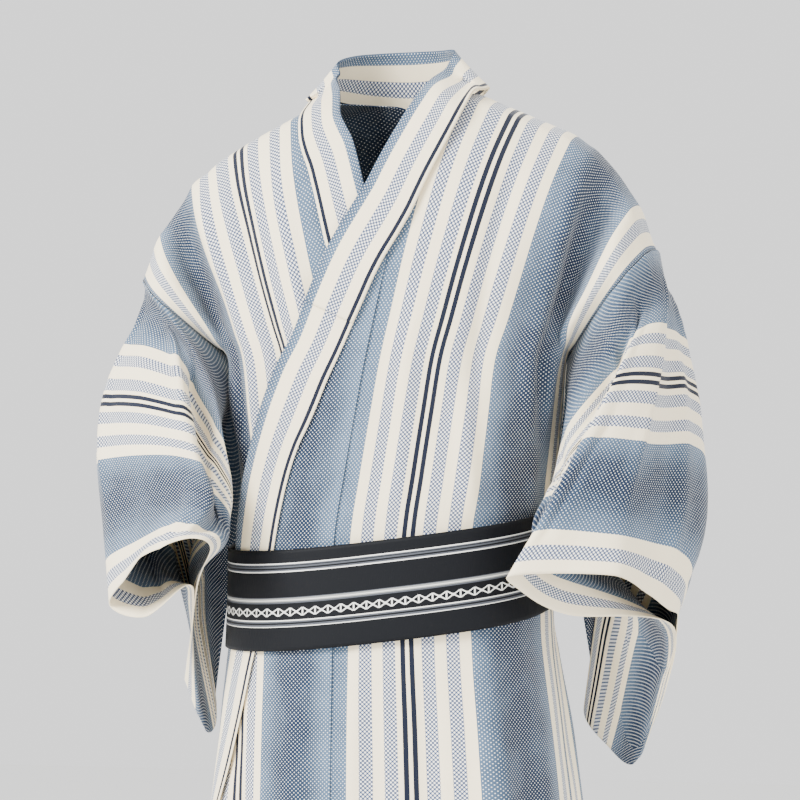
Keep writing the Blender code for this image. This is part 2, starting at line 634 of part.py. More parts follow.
def build():
    clear_scene()
    collection = bpy.data.collections.new("Yukata robe")
    bpy.context.scene.collection.children.link(collection)
    body = cloth_material("Striped cotton body", (0.42, 0.49, 0.62), 0.85)
    sleeve = cloth_material("Striped cotton sleeve", (0.36, 0.43, 0.58), 0.85)
    overlap = cloth_material("Striped cotton overlap", (0.30, 0.38, 0.54), 0.85)
    collar = cloth_material("Striped cotton collar", (0.62, 0.66, 0.74), 0.85)
    belt = cloth_material("Woven obi", (0.02, 0.023, 0.035), 0.75)
    for side, word in ((1, "left"), (-1, "right")):
        mirrored = side < 0
        points = part_at_centre_back(body_panel(side), side)
        mesh_object(word + "_body", points, CLOTH, body, collection, flip=mirrored)
        points = moved_out(overlap_panel(side), CLOTH + SEAM_GAP, flip=not mirrored)
        mesh_object(word + "_okumi", points, CLOTH, overlap, collection, flip=not mirrored)
        points = sleeve_grid(side)
        mesh_object(word + "_sleeve", points, CLOTH, sleeve, collection, closed=True, flip=mirrored)
    band = collar_rows()
    mesh_object("collar", band, COLLAR_WALL, collar, collection)
    over = moved_out(over_collar_rows(band), COLLAR_WALL + OVER_COLLAR_GAP, flip=False)
    mesh_object("over_collar", over, COLLAR_WALL, collar, collection)
    band = obi_rows(OBI_OUT_FRONT, OBI_OUT_BACK, OBI_WIDTH)
    mesh_object("obi", band, OBI_WALL, belt, collection, closed=True)
    for name, points in zip(("obi_knot", "obi_end_upper", "obi_end_lower"), obi_knot()):
        mesh_object(name, points, KNOT_WALL, belt, collection, flip=True)


build()
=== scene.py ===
import math

import bpy
import numpy as np
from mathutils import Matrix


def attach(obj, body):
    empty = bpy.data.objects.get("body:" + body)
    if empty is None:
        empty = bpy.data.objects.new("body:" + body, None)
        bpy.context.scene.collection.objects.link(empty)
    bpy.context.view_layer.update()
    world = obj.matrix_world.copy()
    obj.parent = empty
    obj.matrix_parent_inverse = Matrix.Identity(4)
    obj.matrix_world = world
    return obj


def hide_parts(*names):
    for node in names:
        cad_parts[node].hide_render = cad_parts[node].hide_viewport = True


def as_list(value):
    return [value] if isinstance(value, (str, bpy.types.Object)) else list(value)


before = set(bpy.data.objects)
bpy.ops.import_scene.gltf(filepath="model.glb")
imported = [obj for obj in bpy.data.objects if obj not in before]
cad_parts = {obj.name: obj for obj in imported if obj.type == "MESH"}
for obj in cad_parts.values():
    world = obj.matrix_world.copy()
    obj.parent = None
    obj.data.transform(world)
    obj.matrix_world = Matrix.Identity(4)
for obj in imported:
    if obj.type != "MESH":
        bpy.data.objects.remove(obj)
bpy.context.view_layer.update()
print("frame loaded")

viewTurn = math.radians(12)  # the camera stands this far to the robe's left

# Body panels, with the same sizes as the part's: metres, levels as heights, angles from centre front
body = {
    "wall": 0.0015,
    "frontWidth": 0.281,  # overlap seam to sleeve seam
    "backWidth": 0.3,  # centre back to sleeve seam
    "columns": 14,
    "ringSteps": 241,
    "roundness": 2.5,  # exponent of the trunk's rings
    "armLevel": -0.25,  # below this level the body is a tube round the trunk
    "lowLevels": np.array([-0.25, -0.3, -0.36, -0.42, -0.48, -0.54, -0.62, -0.72, -0.86, -1.02, -1.2,
                           -1.38]),
    "topDowns": np.array([0.0, 0.12, 0.22, 0.42, 0.58, 0.76, 0.9]),
    "layer": 0.0105,  # the left front lies this far outside the right front
    "leftLayerEnds": (0.55, 1.4),
    "rightLayerStarts": (0.1, 0.6),
    "chestDrop": 0.2,  # this far below the shoulder line the front has its full depth
    "chestPower": 0.38,
    "armStart": 0.165,  # across the cloth, where the front passes into the sleeve
    "armBulge": 0.07,
    "valley": (0.205, 0.02, 0.02),  # the dent between front and sleeve: where, half width, depth
    "neckRise": 0.26,  # from armLevel to the shoulder line at the neck
    "neckEdge": 0.055,  # the front's neck edge lies at most this far from the overlap seam
    "backNeckDown": 0.2,  # share of the way down the back where the neck edge meets the middle
    "backNeckEdge": 0.05,  # the same at the shoulder line
    "shoulderTilt": 0.045,  # the left shoulder is a little higher
    "seamHalf": 0.00015,
    # level, half width, front depth, back depth
    "trunk": np.array([
        (0.06, 0.3, 0.09, 0.1), (-0.06, 0.27, 0.106, 0.112), (-0.12, 0.222, 0.114, 0.12),
        (-0.18, 0.186, 0.118, 0.124), (-0.25, 0.168, 0.12, 0.124), (-0.34, 0.16, 0.118, 0.118),
        (-0.43, 0.151, 0.116, 0.112), (-0.52, 0.152, 0.116, 0.116), (-0.6, 0.162, 0.123, 0.13),
        (-0.7, 0.173, 0.131, 0.142), (-0.95, 0.184, 0.138, 0.148), (-1.38, 0.19, 0.146, 0.152),
    ]),
    # distance across the cloth, x, z
    "shoulder": np.array([
        (-0.15, -0.105, 0.03), (0.0, 0.045, 0.016), (0.04, 0.084, 0.008), (0.078, 0.123, -0.01),
        (0.138, 0.176, -0.037), (0.19, 0.214, -0.07), (0.238, 0.24, -0.11), (0.281, 0.256, -0.155),
    ]),
    # level, x
    "overlapSeam": np.array([
        (0.02, 0.045), (-0.157, 0.009), (-0.25, -0.0105), (-0.333, -0.0266), (-0.434, -0.043),
        (-0.7, -0.043), (-1.38, -0.048),
    ]),
    # middle angle, half width, depth, top level, bottom level
    "folds": np.array([
        (0.62, 0.1, 0.005, -0.56, -1.5), (1.18, 0.12, 0.007, -0.58, -1.5),
        (1.75, 0.14, 0.006, -0.6, -1.5), (2.6, 0.16, 0.007, -0.6, -1.5),
        (-1.02, 0.13, 0.005, -0.6, -1.5), (-1.95, 0.14, 0.006, -0.58, -1.5),
        (-2.75, 0.16, 0.007, -0.62, -1.5), (2.2, 0.2, 0.006, -0.12, -0.42),
        (-2.2, 0.2, 0.006, -0.12, -0.42),
    ]),
}


# Rows of millimetres as an array of metres
def inMetres(rows):
    return np.array(rows) / 1000


# A smooth curve through values at knots: cubic pieces whose slopes come from the neighbouring points
def curve(at, knots, values):
    at = np.atleast_1d(np.asarray(at, float))
    knots = np.asarray(knots, float)
    values = np.asarray(values, float)
    flat = values.reshape(len(knots), -1)
    slope = np.gradient(flat, knots, axis=0)
    place = np.clip(np.searchsorted(knots, at, side="right") - 1, 0, len(knots) - 2)
    span = (knots[place + 1] - knots[place])[:, None]
    f = np.clip((at[:, None] - knots[place][:, None]) / span, 0.0, 1.0)
    low = (1 + 2 * f) * (1 - f) ** 2 * flat[place] + f * (1 - f) ** 2 * span * slope[place]
    high = f * f * (3 - 2 * f) * flat[place + 1] + f * f * (f - 1) * span * slope[place + 1]
    return (low + high).reshape((len(at),) + values.shape[1:])


# 0 below low, 1 above high, and between them f squared times 3 less 2 f, f being the share of the way
def smoothStep(value, low, high):
    f = np.clip((value - low) / (high - low), 0.0, 1.0)
    return f * f * (3 - 2 * f)


# Half width, front depth and back depth of the trunk at levels, straight between the table's rows
def trunkAt(level):
    order = body["trunk"][::-1]
    return [np.interp(level, order[:, 0], order[:, k]) for k in (1, 2, 3)]


# How far the folds push the cloth out: each is a bell round its middle angle, faded at both ends
def foldDepth(angle, level):
    total = np.zeros(np.broadcast(angle, level).shape)
    for middle, width, depth, top, bottom in body["folds"]:
        ends = smoothStep(-level, -top, -top + 0.12) * smoothStep(level, bottom, bottom + 0.1)
        total = total + depth * np.exp(-((angle - middle) / width) ** 2) * ends
    return total


# Half a ring of the trunk from centre front to centre back: arc length, x, y and angle. It is a
# superellipse: x is the half width by sine, y the depth by cosine, each to the power 2 / roundness
def ringAt(level):
    half, front, back = (float(value) for value in trunkAt(level))
    angle = np.linspace(0.0, math.pi, body["ringSteps"])
    power = 2.0 / body["roundness"]
    x = half * np.sin(angle) ** power
    depth = np.where(angle < math.pi / 2, front, back)
    y = -depth * np.sign(np.cos(angle)) * np.abs(np.cos(angle)) ** power
    arc = np.concatenate([[0.0], np.cumsum(np.hypot(np.diff(x), np.diff(y)))])
    return arc, x, y, angle


# Points on the trunk at a level and signed arcs from centre front, moved by out and the folds along
# the ring's normal, which is its direction over 4 mm turned by a right angle
def ringPoints(level, arc, out):
    table, x, y, angle = ringAt(level)
    sign = np.where(arc < 0, -1.0, 1.0)
    px = np.interp(np.abs(arc), table, x) * sign
    py = np.interp(np.abs(arc), table, y)
    aheadX = np.interp(np.abs(arc) + 0.002, table, x) - np.interp(np.abs(arc) - 0.002, table, x)
    aheadY = np.interp(np.abs(arc) + 0.002, table, y) - np.interp(np.abs(arc) - 0.002, table, y)
    length = np.hypot(aheadX, aheadY) + 1e-9
    turn = np.interp(np.abs(arc), table, angle) * sign
    push = out + foldDepth(turn, np.full(arc.shape, level))
    return np.stack([px - push * aheadY / length * -sign, py - push * aheadX / length,
                     np.full(arc.shape, level)], axis=-1)


# Arc length from centre front to the side seam, where the angle is a quarter turn
def sideArc(level):
    arc, _, _, angle = ringAt(level)
    return float(np.interp(math.pi / 2, angle, arc))


# Arc length from centre front to centre back
def backArc(level):
    return float(ringAt(level)[0][-1])


# Signed arc length on the front half of a ring, straight between its steps, at x
def arcOfX(level, x):
    arc, ringX, _, angle = ringAt(level)
    front = angle <= math.pi / 2
    return float(np.sign(x) * np.interp(abs(x), ringX[front], arc[front]))


# x and z of the shoulder line at a distance across the cloth, straight between the table's rows
def shoulderLine(across):
    return [np.interp(across, body["shoulder"][:, 0], body["shoulder"][:, k]) for k in (1, 2)]


# How far a front lies off the trunk, by smooth steps of the angle: the left one passes outside, the
# right one inside
def frontLayer(side, turn):
    if side > 0:
        return body["layer"] * (1 - smoothStep(turn, *body["leftLayerEnds"]))
    return -body["layer"] * smoothStep(turn, *body["rightLayerStarts"])


# Depth of the front (sign 0) or back (sign 1) under the shoulder line: the ring's depth at x, by 1
# less the square of what is left of the drop, to the power chestPower
def topDepth(x, level, sign):
    half, front, back = trunkAt(level)
    full = back if sign else front
    power = body["roundness"]
    ring = full * (1 - np.clip(np.abs(x) / half, 0, 0.985) ** power) ** (1 / power)
    line = np.interp(np.abs(x), body["shoulder"][1:, 1], body["shoulder"][1:, 2])
    down = np.clip((line - level) / body["chestDrop"], 0.0, 1.0)
    return ring * (1 - (1 - down) ** 2) ** body["chestPower"]


# The trunk's angle from centre front at x: the arc sine of x / half width to the power roundness / 2
def frontAngle(x, level):
    share = np.clip(np.abs(x) / trunkAt(level)[0], 0.0, 1.0)
    return np.arcsin(share ** (body["roundness"] / 2)) * np.sign(x)


# Signed arc of a front for distances across its cloth from the overlap seam: the cloth is scaled to
# reach from the seam's arc to the side's, and beyond the seam it keeps its width
def frontArc(side, across, level):
    seam = float(np.interp(level, body["overlapSeam"][::-1, 0], body["overlapSeam"][::-1, 1]))
    start = arcOfX(level, seam)
    scale = (sideArc(level) - start) / body["frontWidth"]
    return np.where(across < 0, start + across, start + across * scale)


# One row of a front below the armholes: the ring's points at the cloth's arcs, out by the front's layer
def frontRow(side, across, level):
    arc = frontArc(side, across, level)
    table, _, _, angle = ringAt(level)
    turn = np.interp(np.abs(arc), table, angle) * np.sign(arc)
    out = frontLayer(side, turn * side)
    return ringPoints(level, arc * side, out)


# One row of a back below the armholes, evenly from centre back to the side seam
def backRow(side, across, level):
    fromBack = (across - (body["frontWidth"] - body["backWidth"])) / body["backWidth"]
    arc = backArc(level) - fromBack * (backArc(level) - sideArc(level))
    return ringPoints(level, arc * side, np.zeros(arc.shape))


# One row between the shoulder line (down 0) and the armpit's level (down 1): x and z go by the cosine
# of a quarter turn, and y is the front's depth inside and a sine's bulge at the sleeve, blended
# across the cloth, less a bell-shaped dent between them
def topRow(side, across, down, back):
    c = math.cos(down * math.pi / 2)
    armLevel = body["armLevel"]
    low = (backRow if back else frontRow)(side, across, armLevel)
    lineX, lineZ = shoulderLine(across)
    if back:
        inside = np.interp(across, [body["frontWidth"] - body["backWidth"], 0.04], [0.0, 0.084])
        lineX = np.where(across > 0.04, lineX, inside)
    x = low[:, 0] * side * (1 - c) + lineX * c
    z = armLevel + (lineZ - armLevel) * c
    facing = 1.0 if back else -1.0
    chest = facing * topDepth(x, z, back)
    bulge = facing * body["armBulge"] * math.sin(down * math.pi) ** 0.8
    arm = low[:, 1] * math.sin(down * math.pi / 2) + bulge
    blend = smoothStep(across, body["armStart"], body["frontWidth"])
    y = chest * (1 - blend) + arm * blend
    place, wide, deep = body["valley"]
    dent = deep * math.sin(down * math.pi) * np.exp(-((across - place) / wide) ** 2)
    y = y - facing * dent
    if not back:
        turn = frontAngle(x, z)
        y = y - frontLayer(side, turn * side) * (1 - c ** 3) * (1 - blend)
    return np.stack([x * side, y, z + body["shoulderTilt"] * x * side * c], axis=-1)


# x of the middle of the collar on a front at a level, straight between its rows
def collarMiddle(table, level):
    z = (table[:, 1] + table[:, 3]) / 2
    x = (table[:, 0] + table[:, 2]) / 2
    return np.interp(level, z[::-1], x[::-1])


# Where row(across) passes under the middle of the collar: the first of 109 even trials past it
def innerEdge(side, row):
    table = collar["left"] if side > 0 else collar["right"]
    across = np.linspace(-overlap["width"], 0.12, 109)
    points = row(across)
    past = (points[:, 0] - collarMiddle(table, points[:, 2])) * side
    inside = np.nonzero(past > 0)[0]
    return float(across[inside[0]]) if len(inside) else 0.12


# A body panel in one length: rows up the front from the hem, over the shoulder and down the back, each
# evenly spaced between its edges; with it, distances across the cloth
def bodyPanel(side):
    share = np.linspace(0.0, 1.0, body["columns"])
    seam, backWidth = body["frontWidth"], body["backWidth"]
    rows, wide = [], []
    for level in body["lowLevels"][::-1]:
        wide.append(share * seam)
        rows.append(frontRow(side, wide[-1], level))
    for down in body["topDowns"][::-1]:
        start = max(0.0, innerEdge(side, lambda across, down=down: topRow(side, across, down, False)))
        start = min(start, body["neckEdge"])
        wide.append(start + share * (seam - start))
        rows.append(topRow(side, wide[-1], down, False))
    for down in body["topDowns"][1:]:
        ends = [body["backNeckEdge"], seam - backWidth]
        start = float(np.interp(down, [0.0, body["backNeckDown"]], ends))
        wide.append(start + share * (seam - start))
        rows.append(topRow(side, wide[-1], down, True))
    for level in body["lowLevels"]:
        wide.append(seam - backWidth + share * backWidth)
        rows.append(backRow(side, wide[-1], level))
    return np.array(rows), np.array(wide)


# Keeps a panel on its own side of centre back: x is at least half the seam's gap there
def partAtCentreBack(points, side):
    x = points[..., 0] * side
    points[..., 0] = np.where((x < body["seamHalf"]) & (points[..., 1] > 0), body["seamHalf"], x) * side
    return points


# Overlap panels
overlap = {
    "width": 0.15,  # at the hem
    "fullBelow": -0.7,  # the panel has its full width below this level
    "columns": 6,
    "seamLap": 0.005,
}


# A row of an overlap panel: its lap on the front's first strip, its seam, and on to its free edge
def overlapRow(row, edge):
    strip = row(np.array([0.0, body["frontWidth"] / (body["columns"] - 1)]))
    lapShare = overlap["seamLap"] * (body["columns"] - 1) / body["frontWidth"]
    lap = strip[0] + (strip[1] - strip[0]) * lapShare
    return np.concatenate([lap[None], row(np.linspace(0.0, edge, overlap["columns"]))])


# An overlap panel: from its seam on the front to its free edge, cut off by the collar above
def overlapPanel(side):
    rows = []
    for level in body["lowLevels"][::-1]:
        def row(across, level=level):
            return frontRow(side, across, level)
        edge = -overlap["width"]
        if level >= overlap["fullBelow"]:
            edge = max(edge, innerEdge(side, row))
        rows.append(overlapRow(row, edge))
    for down in (0.9, 0.76):
        def row(across, down=down):
            return topRow(side, across, down, False)
        rows.append(overlapRow(row, min(innerEdge(side, row), -0.006)))
    return np.array(rows)


# A grid moved by a distance along its own normals
def movedOut(points, distance, flip):
    return points + normalsOf(points, False, flip) * distance


# Collar and over-collar: rows of inner x and z and outer x and z, and round the neck inner x, y, z and
# outer x, y, z
collar = {
    "wall": 0.0015,
    "width": 0.055,
    "off": 0.0048,  # from the cloth's inner face to the collar's
    "standLevels": (-0.06, 0.05),  # the collar begins to stand off the shoulder between these levels
    "standOut": 0.0045,
    "standLean": 0.004,
    "overEnd": -0.225,  # level of the over-collar's sewn ends
    "left": np.array([
        (0.046, 0.036, 0.083, 0.004), (0.0246, -0.007, 0.07, -0.031),
        (0.0032, -0.051, 0.0505, -0.076), (-0.0126, -0.087, 0.034, -0.116),
        (-0.04, -0.136, 0.0085, -0.161), (-0.059, -0.178, -0.0105, -0.202),
        (-0.085, -0.241, -0.036, -0.258), (-0.1055, -0.292, -0.0555, -0.305),
        (-0.122, -0.348, -0.074, -0.346), (-0.133, -0.4, -0.088, -0.4),
        (-0.144, -0.5, -0.106, -0.5), (-0.16, -0.6, -0.128, -0.6), (-0.1715, -0.69, -0.148, -0.69),
    ]),
    "right": np.array([
        (-0.061, 0.03, -0.09, 0.002), (-0.0449, -0.014, -0.0847, -0.038),
        (-0.029, -0.04, -0.0708, -0.07), (-0.0128, -0.085, -0.0578, -0.108),
        (0.004, -0.13, -0.0447, -0.15), (0.03, -0.19, -0.019, -0.208),
        (0.058, -0.245, 0.01, -0.265), (0.084, -0.3, 0.035, -0.315), (0.104, -0.35, 0.056, -0.358),
        (0.118, -0.4, 0.072, -0.402), (0.138, -0.5, 0.1, -0.5), (0.156, -0.6, 0.123, -0.6),
        (0.168, -0.69, 0.144, -0.69),
    ]),
    "neck": np.array([
        (0.049, 0.001, 0.044, 0.0865, -0.012, 0.0165), (0.052, 0.012, 0.058, 0.085, 0.02, 0.019),
        (0.034, 0.048, 0.063, 0.052, 0.069, 0.007), (0.0, 0.06, 0.064, 0.0, 0.085, -0.003),
        (-0.038, 0.048, 0.061, -0.056, 0.069, 0.003), (-0.062, 0.012, 0.052, -0.091, 0.02, 0.012),
        (-0.0613, 0.001, 0.037, -0.0925, -0.012, 0.009),
    ]),
}


# A few points over a front at x and z, off from the cloth's inner face along its normal: below the
# armholes by the ring, and above them by the top's depth and the slope of it over 2 mm
def frontSurface(side, x, z, off):
    out = []
    for px, pz in zip(x, z):
        lift = float(frontLayer(side, frontAngle(px, pz)))
        if pz <= body["armLevel"]:
            out.append(ringPoints(pz, np.array([arcOfX(pz, px)]), lift + off)[0])
            continue
        c = np.clip((pz - body["armLevel"]) / body["neckRise"], 0.0, 1.0)
        level = pz - body["shoulderTilt"] * px * c
        deep = float(topDepth(np.array([px]), np.array([level]), 0)[0])
        steeper = float(topDepth(np.array([px]), np.array([level - 0.002]), 0)[0])
        slope = (steeper - deep) / 0.002
        length = math.hypot(1.0, slope)
        out.append((px, -deep - lift * (1 - c ** 3) - off / length, pz + off * slope / length))
    return np.array(out)


# Rows of the collar from its lower left end, round the neck, to its lower right end: smooth curves
# along the tables, and straight from inner to outer edge
def collarRows(columns=4):
    across = np.linspace(0.0, 1.0, columns)
    rows = []
    fine = np.linspace(0, len(collar["left"]) - 1, 26)
    left = curve(fine, np.arange(len(collar["left"])), collar["left"])
    right = curve(fine, np.arange(len(collar["right"])), collar["right"])
    for table, side in ((left[::-1], 1), (None, 0), (right, -1)):
        if table is None:
            steps = np.linspace(0, len(collar["neck"]) - 1, 9)
            for entry in curve(steps, np.arange(len(collar["neck"])), collar["neck"]):
                rows.append(entry[None, :3] * (1 - across[:, None]) + entry[None, 3:] * across[:, None])
            continue
        for entry in table:
            x = entry[0] + (entry[2] - entry[0]) * across
            z = entry[1] + (entry[3] - entry[1]) * across
            stand = smoothStep(entry[1], *collar["standLevels"])
            points = frontSurface(side, x, z, collar["off"] + collar["standOut"] * stand)
            points[:, 1] -= collar["standLean"] * stand * (1 - across)
            rows.append(points)
    return np.array(rows)


# The rows of the collar that the over-collar covers, between its two sewn ends
def overCollarRows(band):
    low = band[:, :, 2].mean(axis=1) < collar["overEnd"]
    covered = np.nonzero(~low)[0]
    return band[covered[0]:covered[-1] + 1]


# Sleeves. A section, in millimetres, is its distance from the armhole and seven points, each across,
# toward the viewer and up: top, edge, under, inner, hang, bottom, outer
sleeve = {
    "armholeBottom": -0.36,
    "stand": 0.0006,  # between a sleeve's first ring and the body's outer face
    "slitHalf": 0.0015,  # half the gap between a sleeve's two sheets below the armpit
    "hangSpread": (0.016, 0.02, 0.018, 0.012, 0.0045),  # between its two hanging sheets, by section
    "longest": 0.062,  # longest step in place round the sleeve
    "along": 100,
    "left": [
        (70, 257, 70, -188, 238, 98, -198, 205, 122, -235, 162, 92, -295,
         207, 0, -380, 197, -45, -575, 268, 20, -225),
        (140, 248, 105, -250, 212, 150, -252, 206, 118, -280, 147, 120, -370,
         208, 5, -435, 187, -45, -608, 284, 25, -275),
        (210, 232, 150, -316, 180, 190, -312, 174, 155, -345, 139, 148, -392,
         232, 30, -480, 208, -38, -637, 298, 50, -335),
        (280, 213, 185, -386, 148, 217, -376, 142, 190, -400, 131, 176, -424,
         258, 60, -510, 236, -30, -657, 294, 95, -408),
        (350, 197, 207, -455, 107, 215, -453, 112, 192, -468, 160, 155, -494,
         266, 105, -508, 256, 0, -606, 252, 160, -487),
    ],
    "right": [
        (70, -262, -30, -205, -232, 8, -215, -200, 40, -255, -176, 45, -310,
         -205, -60, -380, -190, -105, -578, -252, -85, -230),
        (140, -292, -10, -270, -214, 74, -282, -204, 36, -305, -165, 66, -375,
         -214, -60, -430, -190, -105, -606, -268, -80, -310),
        (210, -299, 20, -335, -204, 106, -336, -194, 70, -360, -165, 90, -402,
         -220, -40, -460, -192, -102, -628, -270, -50, -385),
        (280, -289, 55, -410, -189, 142, -386, -179, 112, -406, -167, 118, -426,
         -214, 10, -480, -202, -95, -628, -262, 5, -450),
        (350, -282, 85, -486, -235, 152, -437, -200, 168, -421, -180, 155, -430,
         -200, 80, -472, -220, -70, -576, -248, 90, -500),
    ],
}


# From across, toward the viewer and up, to x, y and z: a turn by viewTurn
def seenToModel(point):
    across, toward, up = point
    return np.array([
        across * math.cos(viewTurn) + toward * math.sin(viewTurn),
        across * math.sin(viewTurn) - toward * math.cos(viewTurn),
        up,
    ])


# A section's eight knots: its points, with hang split in two, half the spread to each side of the pouch
def sectionKnots(section, spread):
    top, edge, under, inner, hang, bottom, outer = (seenToModel(p) for p in section[1:].reshape(7, 3))
    apart = np.cross(bottom - hang, inner - outer)
    apart = np.cross(bottom - hang, apart)
    apart = apart / np.linalg.norm(apart) * spread / 2
    if np.dot(apart, inner - outer) < 0:
        apart = -apart
    return np.array([top, edge, under, inner, hang + apart, bottom, hang - apart, outer])


# The body's sleeve edge, down the front and up the back, as places from 0 to 8 and points, with its
# two sides held apart below the armpit
def armhole(side):
    panel, _ = bodyPanel(side)
    outside = movedOut(panel, body["wall"] + sleeve["stand"], flip=side < 0)[:, -1]
    low = len(body["lowLevels"])
    top = len(body["topDowns"])
    reach = int(np.argmin(np.abs(body["lowLevels"] - sleeve["armholeBottom"])))
    front = np.arange(low + top - 1, low - reach - 2, -1)
    back = np.arange(low + 2 * top - 1 + reach - 1, low + top - 1, -1)
    levels = body["lowLevels"][1:reach + 1]
    down = (levels - body["armLevel"]) / (sleeve["armholeBottom"] - body["armLevel"])
    frontPlaces = np.concatenate([3 * body["topDowns"], [3.0], 3 + 2 * down])
    backPlaces = np.concatenate([6.3 - 1.3 * down[-2::-1], [6.3], 8 - 1.7 * body["topDowns"][:0:-1]])
    points = np.concatenate([outside[front], outside[back]])
    places = np.concatenate([frontPlaces, backPlaces])
    slit = (places >= 3.0) & (places <= 6.3)
    points[:, 1] += sleeve["slitHalf"] * slit * np.sign(places - 5.0)
    return places, points


# A sleeve from the armhole to the open cuff: a smooth curve through each section's knots, and smooth
# curves along through the sections
def sleeveGrid(side):
    table = inMetres(sleeve["left"] if side > 0 else sleeve["right"])
    edgePlaces, edgePoints = armhole(side)
    ends = np.append(edgePlaces[1:], 8.0)
    places = []
    for low, high in zip(edgePlaces, ends):
        parts = math.ceil((high - low) / sleeve["longest"])
        places.extend(low + (high - low) * part / parts for part in range(parts))
    places = np.array(places)
    ringPlaces = np.append(edgePlaces, 8.0)
    ringPointsClosed = np.concatenate([edgePoints, edgePoints[:1]])
    start = np.stack([np.interp(places, ringPlaces, ringPointsClosed[:, k]) for k in range(3)], axis=1)
    sections = []
    for section, spread in zip(table, sleeve["hangSpread"]):
        knots = sectionKnots(section, spread)
        closed = np.concatenate([knots[-2:], knots, knots[:3]])
        sections.append(curve(places, np.arange(-2, 11), closed))
    distances = np.append(0.0, table[:, 0])
    steps = np.linspace(0.0, distances[-1], sleeve["along"])
    return curve(steps, distances, np.array([start] + sections)), steps, places


# Obi and its knot
obi = {
    "level": -0.474,
    "depth": 0.235,  # of the belt, front to back
    "width": 0.098,
    "wall": 0.002,
    "outFront": 0.0184,
    "outBack": 0.0045,
    "sideSlope": 0.13,
    "backRise": 0.1,
    "leftEnds": (0.55, 1.45),  # angles over which the front's clearance falls to the back's
    "rightEnds": (1.33, 1.8),
    "around": 56,
    "rows": 3,
    "knotWall": 0.0025,
    "knotGap": 0.0008,
    "knotStand": 0.0022,  # between the belt and the strips of its knot
}


# The belt: rings round the waist, whose level is a slope by x and a rise by the depth, out from the
# trunk by a smooth step from front to back
def obiRows():
    table, _, _, angle = ringAt(obi["level"])
    arcs = np.linspace(-table[-1], table[-1], obi["around"], endpoint=False)
    frontY = float(ringPoints(obi["level"], np.array([0.0]), 0.0)[0, 1])
    lines = []
    for row in range(obi["rows"]):
        part = row / (obi["rows"] - 1) - 0.5
        points = []
        for arc in arcs:
            base = ringPoints(obi["level"], np.array([arc]), 0.0)[0]
            rise = obi["backRise"] * (base[1] - frontY)
            level = obi["level"] + obi["sideSlope"] * base[0] + rise + part * obi["width"]
            scale = arc / table[-1] * backArc(level)
            turn = float(np.interp(abs(arc), table, angle))
            behind = smoothStep(turn, *(obi["leftEnds"] if arc > 0 else obi["rightEnds"]))
            out = obi["outFront"] + (obi["outBack"] - obi["outFront"]) * behind
            points.append(ringPoints(level, np.array([scale]), np.array([out]))[0])
        lines.append(points)
    return np.array(lines)


# A flat strip on the back of the belt: a short path of x and height over the belt's middle, widened
# both ways at right angles and laid on the trunk's ring
def backStrip(path, halfWidth, out):
    path = np.array(path, float)
    ahead = np.gradient(path, axis=0)
    ahead /= np.linalg.norm(ahead, axis=1, keepdims=True)
    aside = np.stack([-ahead[:, 1], ahead[:, 0]], axis=1)
    rows = []
    for place in np.linspace(-1.0, 1.0, 4):
        row = []
        for (x, rise), off in zip(path + aside * halfWidth * place, out * np.ones(len(path))):
            level = obi["level"] + obi["backRise"] * obi["depth"] + obi["sideSlope"] * x + rise
            arc, ringX, _, angle = ringAt(level)
            behind = angle >= math.pi / 2
            along = float(np.interp(abs(x), ringX[behind][::-1], arc[behind][::-1]))
            row.append(ringPoints(level, np.array([math.copysign(along, x)]), off)[0])
        rows.append(row)
    return np.array(rows)


# A plain flat knot at centre back: two folded ends, the upper over the lower, and the wrap over both
def obiKnot():
    seat = obi["outBack"] + obi["wall"] + obi["knotStand"]
    step = obi["knotWall"] + obi["knotGap"]
    lower = backStrip([(-0.01, 0.01), (0.01, -0.01), (0.04, -0.034), (0.076, -0.054), (0.11, -0.068)],
                      0.023, seat)
    upper = backStrip([(0.02, -0.02), (0.0, 0.0), (-0.03, 0.031), (-0.064, 0.066), (-0.094, 0.098)],
                      0.023, seat + step * np.array([1.0, 1.0, 1.0, 0.9, 0.6]))
    wrap = backStrip([(-0.03, -0.03), (-0.022, -0.022), (0.0, 0.0), (0.022, 0.022), (0.03, 0.03)],
                      0.026, seat + 2 * step * np.array([0.0, 1.0, 1.0, 1.0, 0.0]))
    return wrap, upper, lower


# A coarse grid made fine by smooth cubic pieces, first across and then along; a tube wraps round
def refine(grid, rows, columns, closed=False):
    if closed:
        count = grid.shape[1]
        wrapped = np.concatenate([grid[:, -3:], grid, grid[:, :3]], axis=1)
        at = np.linspace(0, count, columns, endpoint=False)
        grid = curve(at, np.arange(-3, count + 3), wrapped.transpose(1, 0, 2)).transpose(1, 0, 2)
    else:
        at = np.linspace(0, grid.shape[1] - 1, columns)
        grid = curve(at, np.arange(grid.shape[1]), grid.transpose(1, 0, 2)).transpose(1, 0, 2)
    return curve(np.linspace(0, grid.shape[0] - 1, rows), np.arange(grid.shape[0]), grid)


# Unit normals of a grid: the cross of the step across and the step along
def normalsOf(points, closed, flip):
    along = np.gradient(points, axis=0)
    if closed:
        across = (np.roll(points, -1, axis=1) - np.roll(points, 1, axis=1)) / 2
    else:
        across = np.gradient(points, axis=1)
    normal = np.cross(across, along)
    normal = normal / (np.linalg.norm(normal, axis=-1, keepdims=True) + 1e-12)
    return -normal if flip else normal


# Where places a, b lie by a line: the share along it, and the distance off it by the cross product
def byLine(a, b, a0, b0, a1, b1):
    length = math.hypot(a1 - a0, b1 - b0)
    along = ((a - a0) * (a1 - a0) + (b - b0) * (b1 - b0)) / length ** 2
    return along, ((a - a0) * (b1 - b0) - (b - b0) * (a1 - a0)) / length


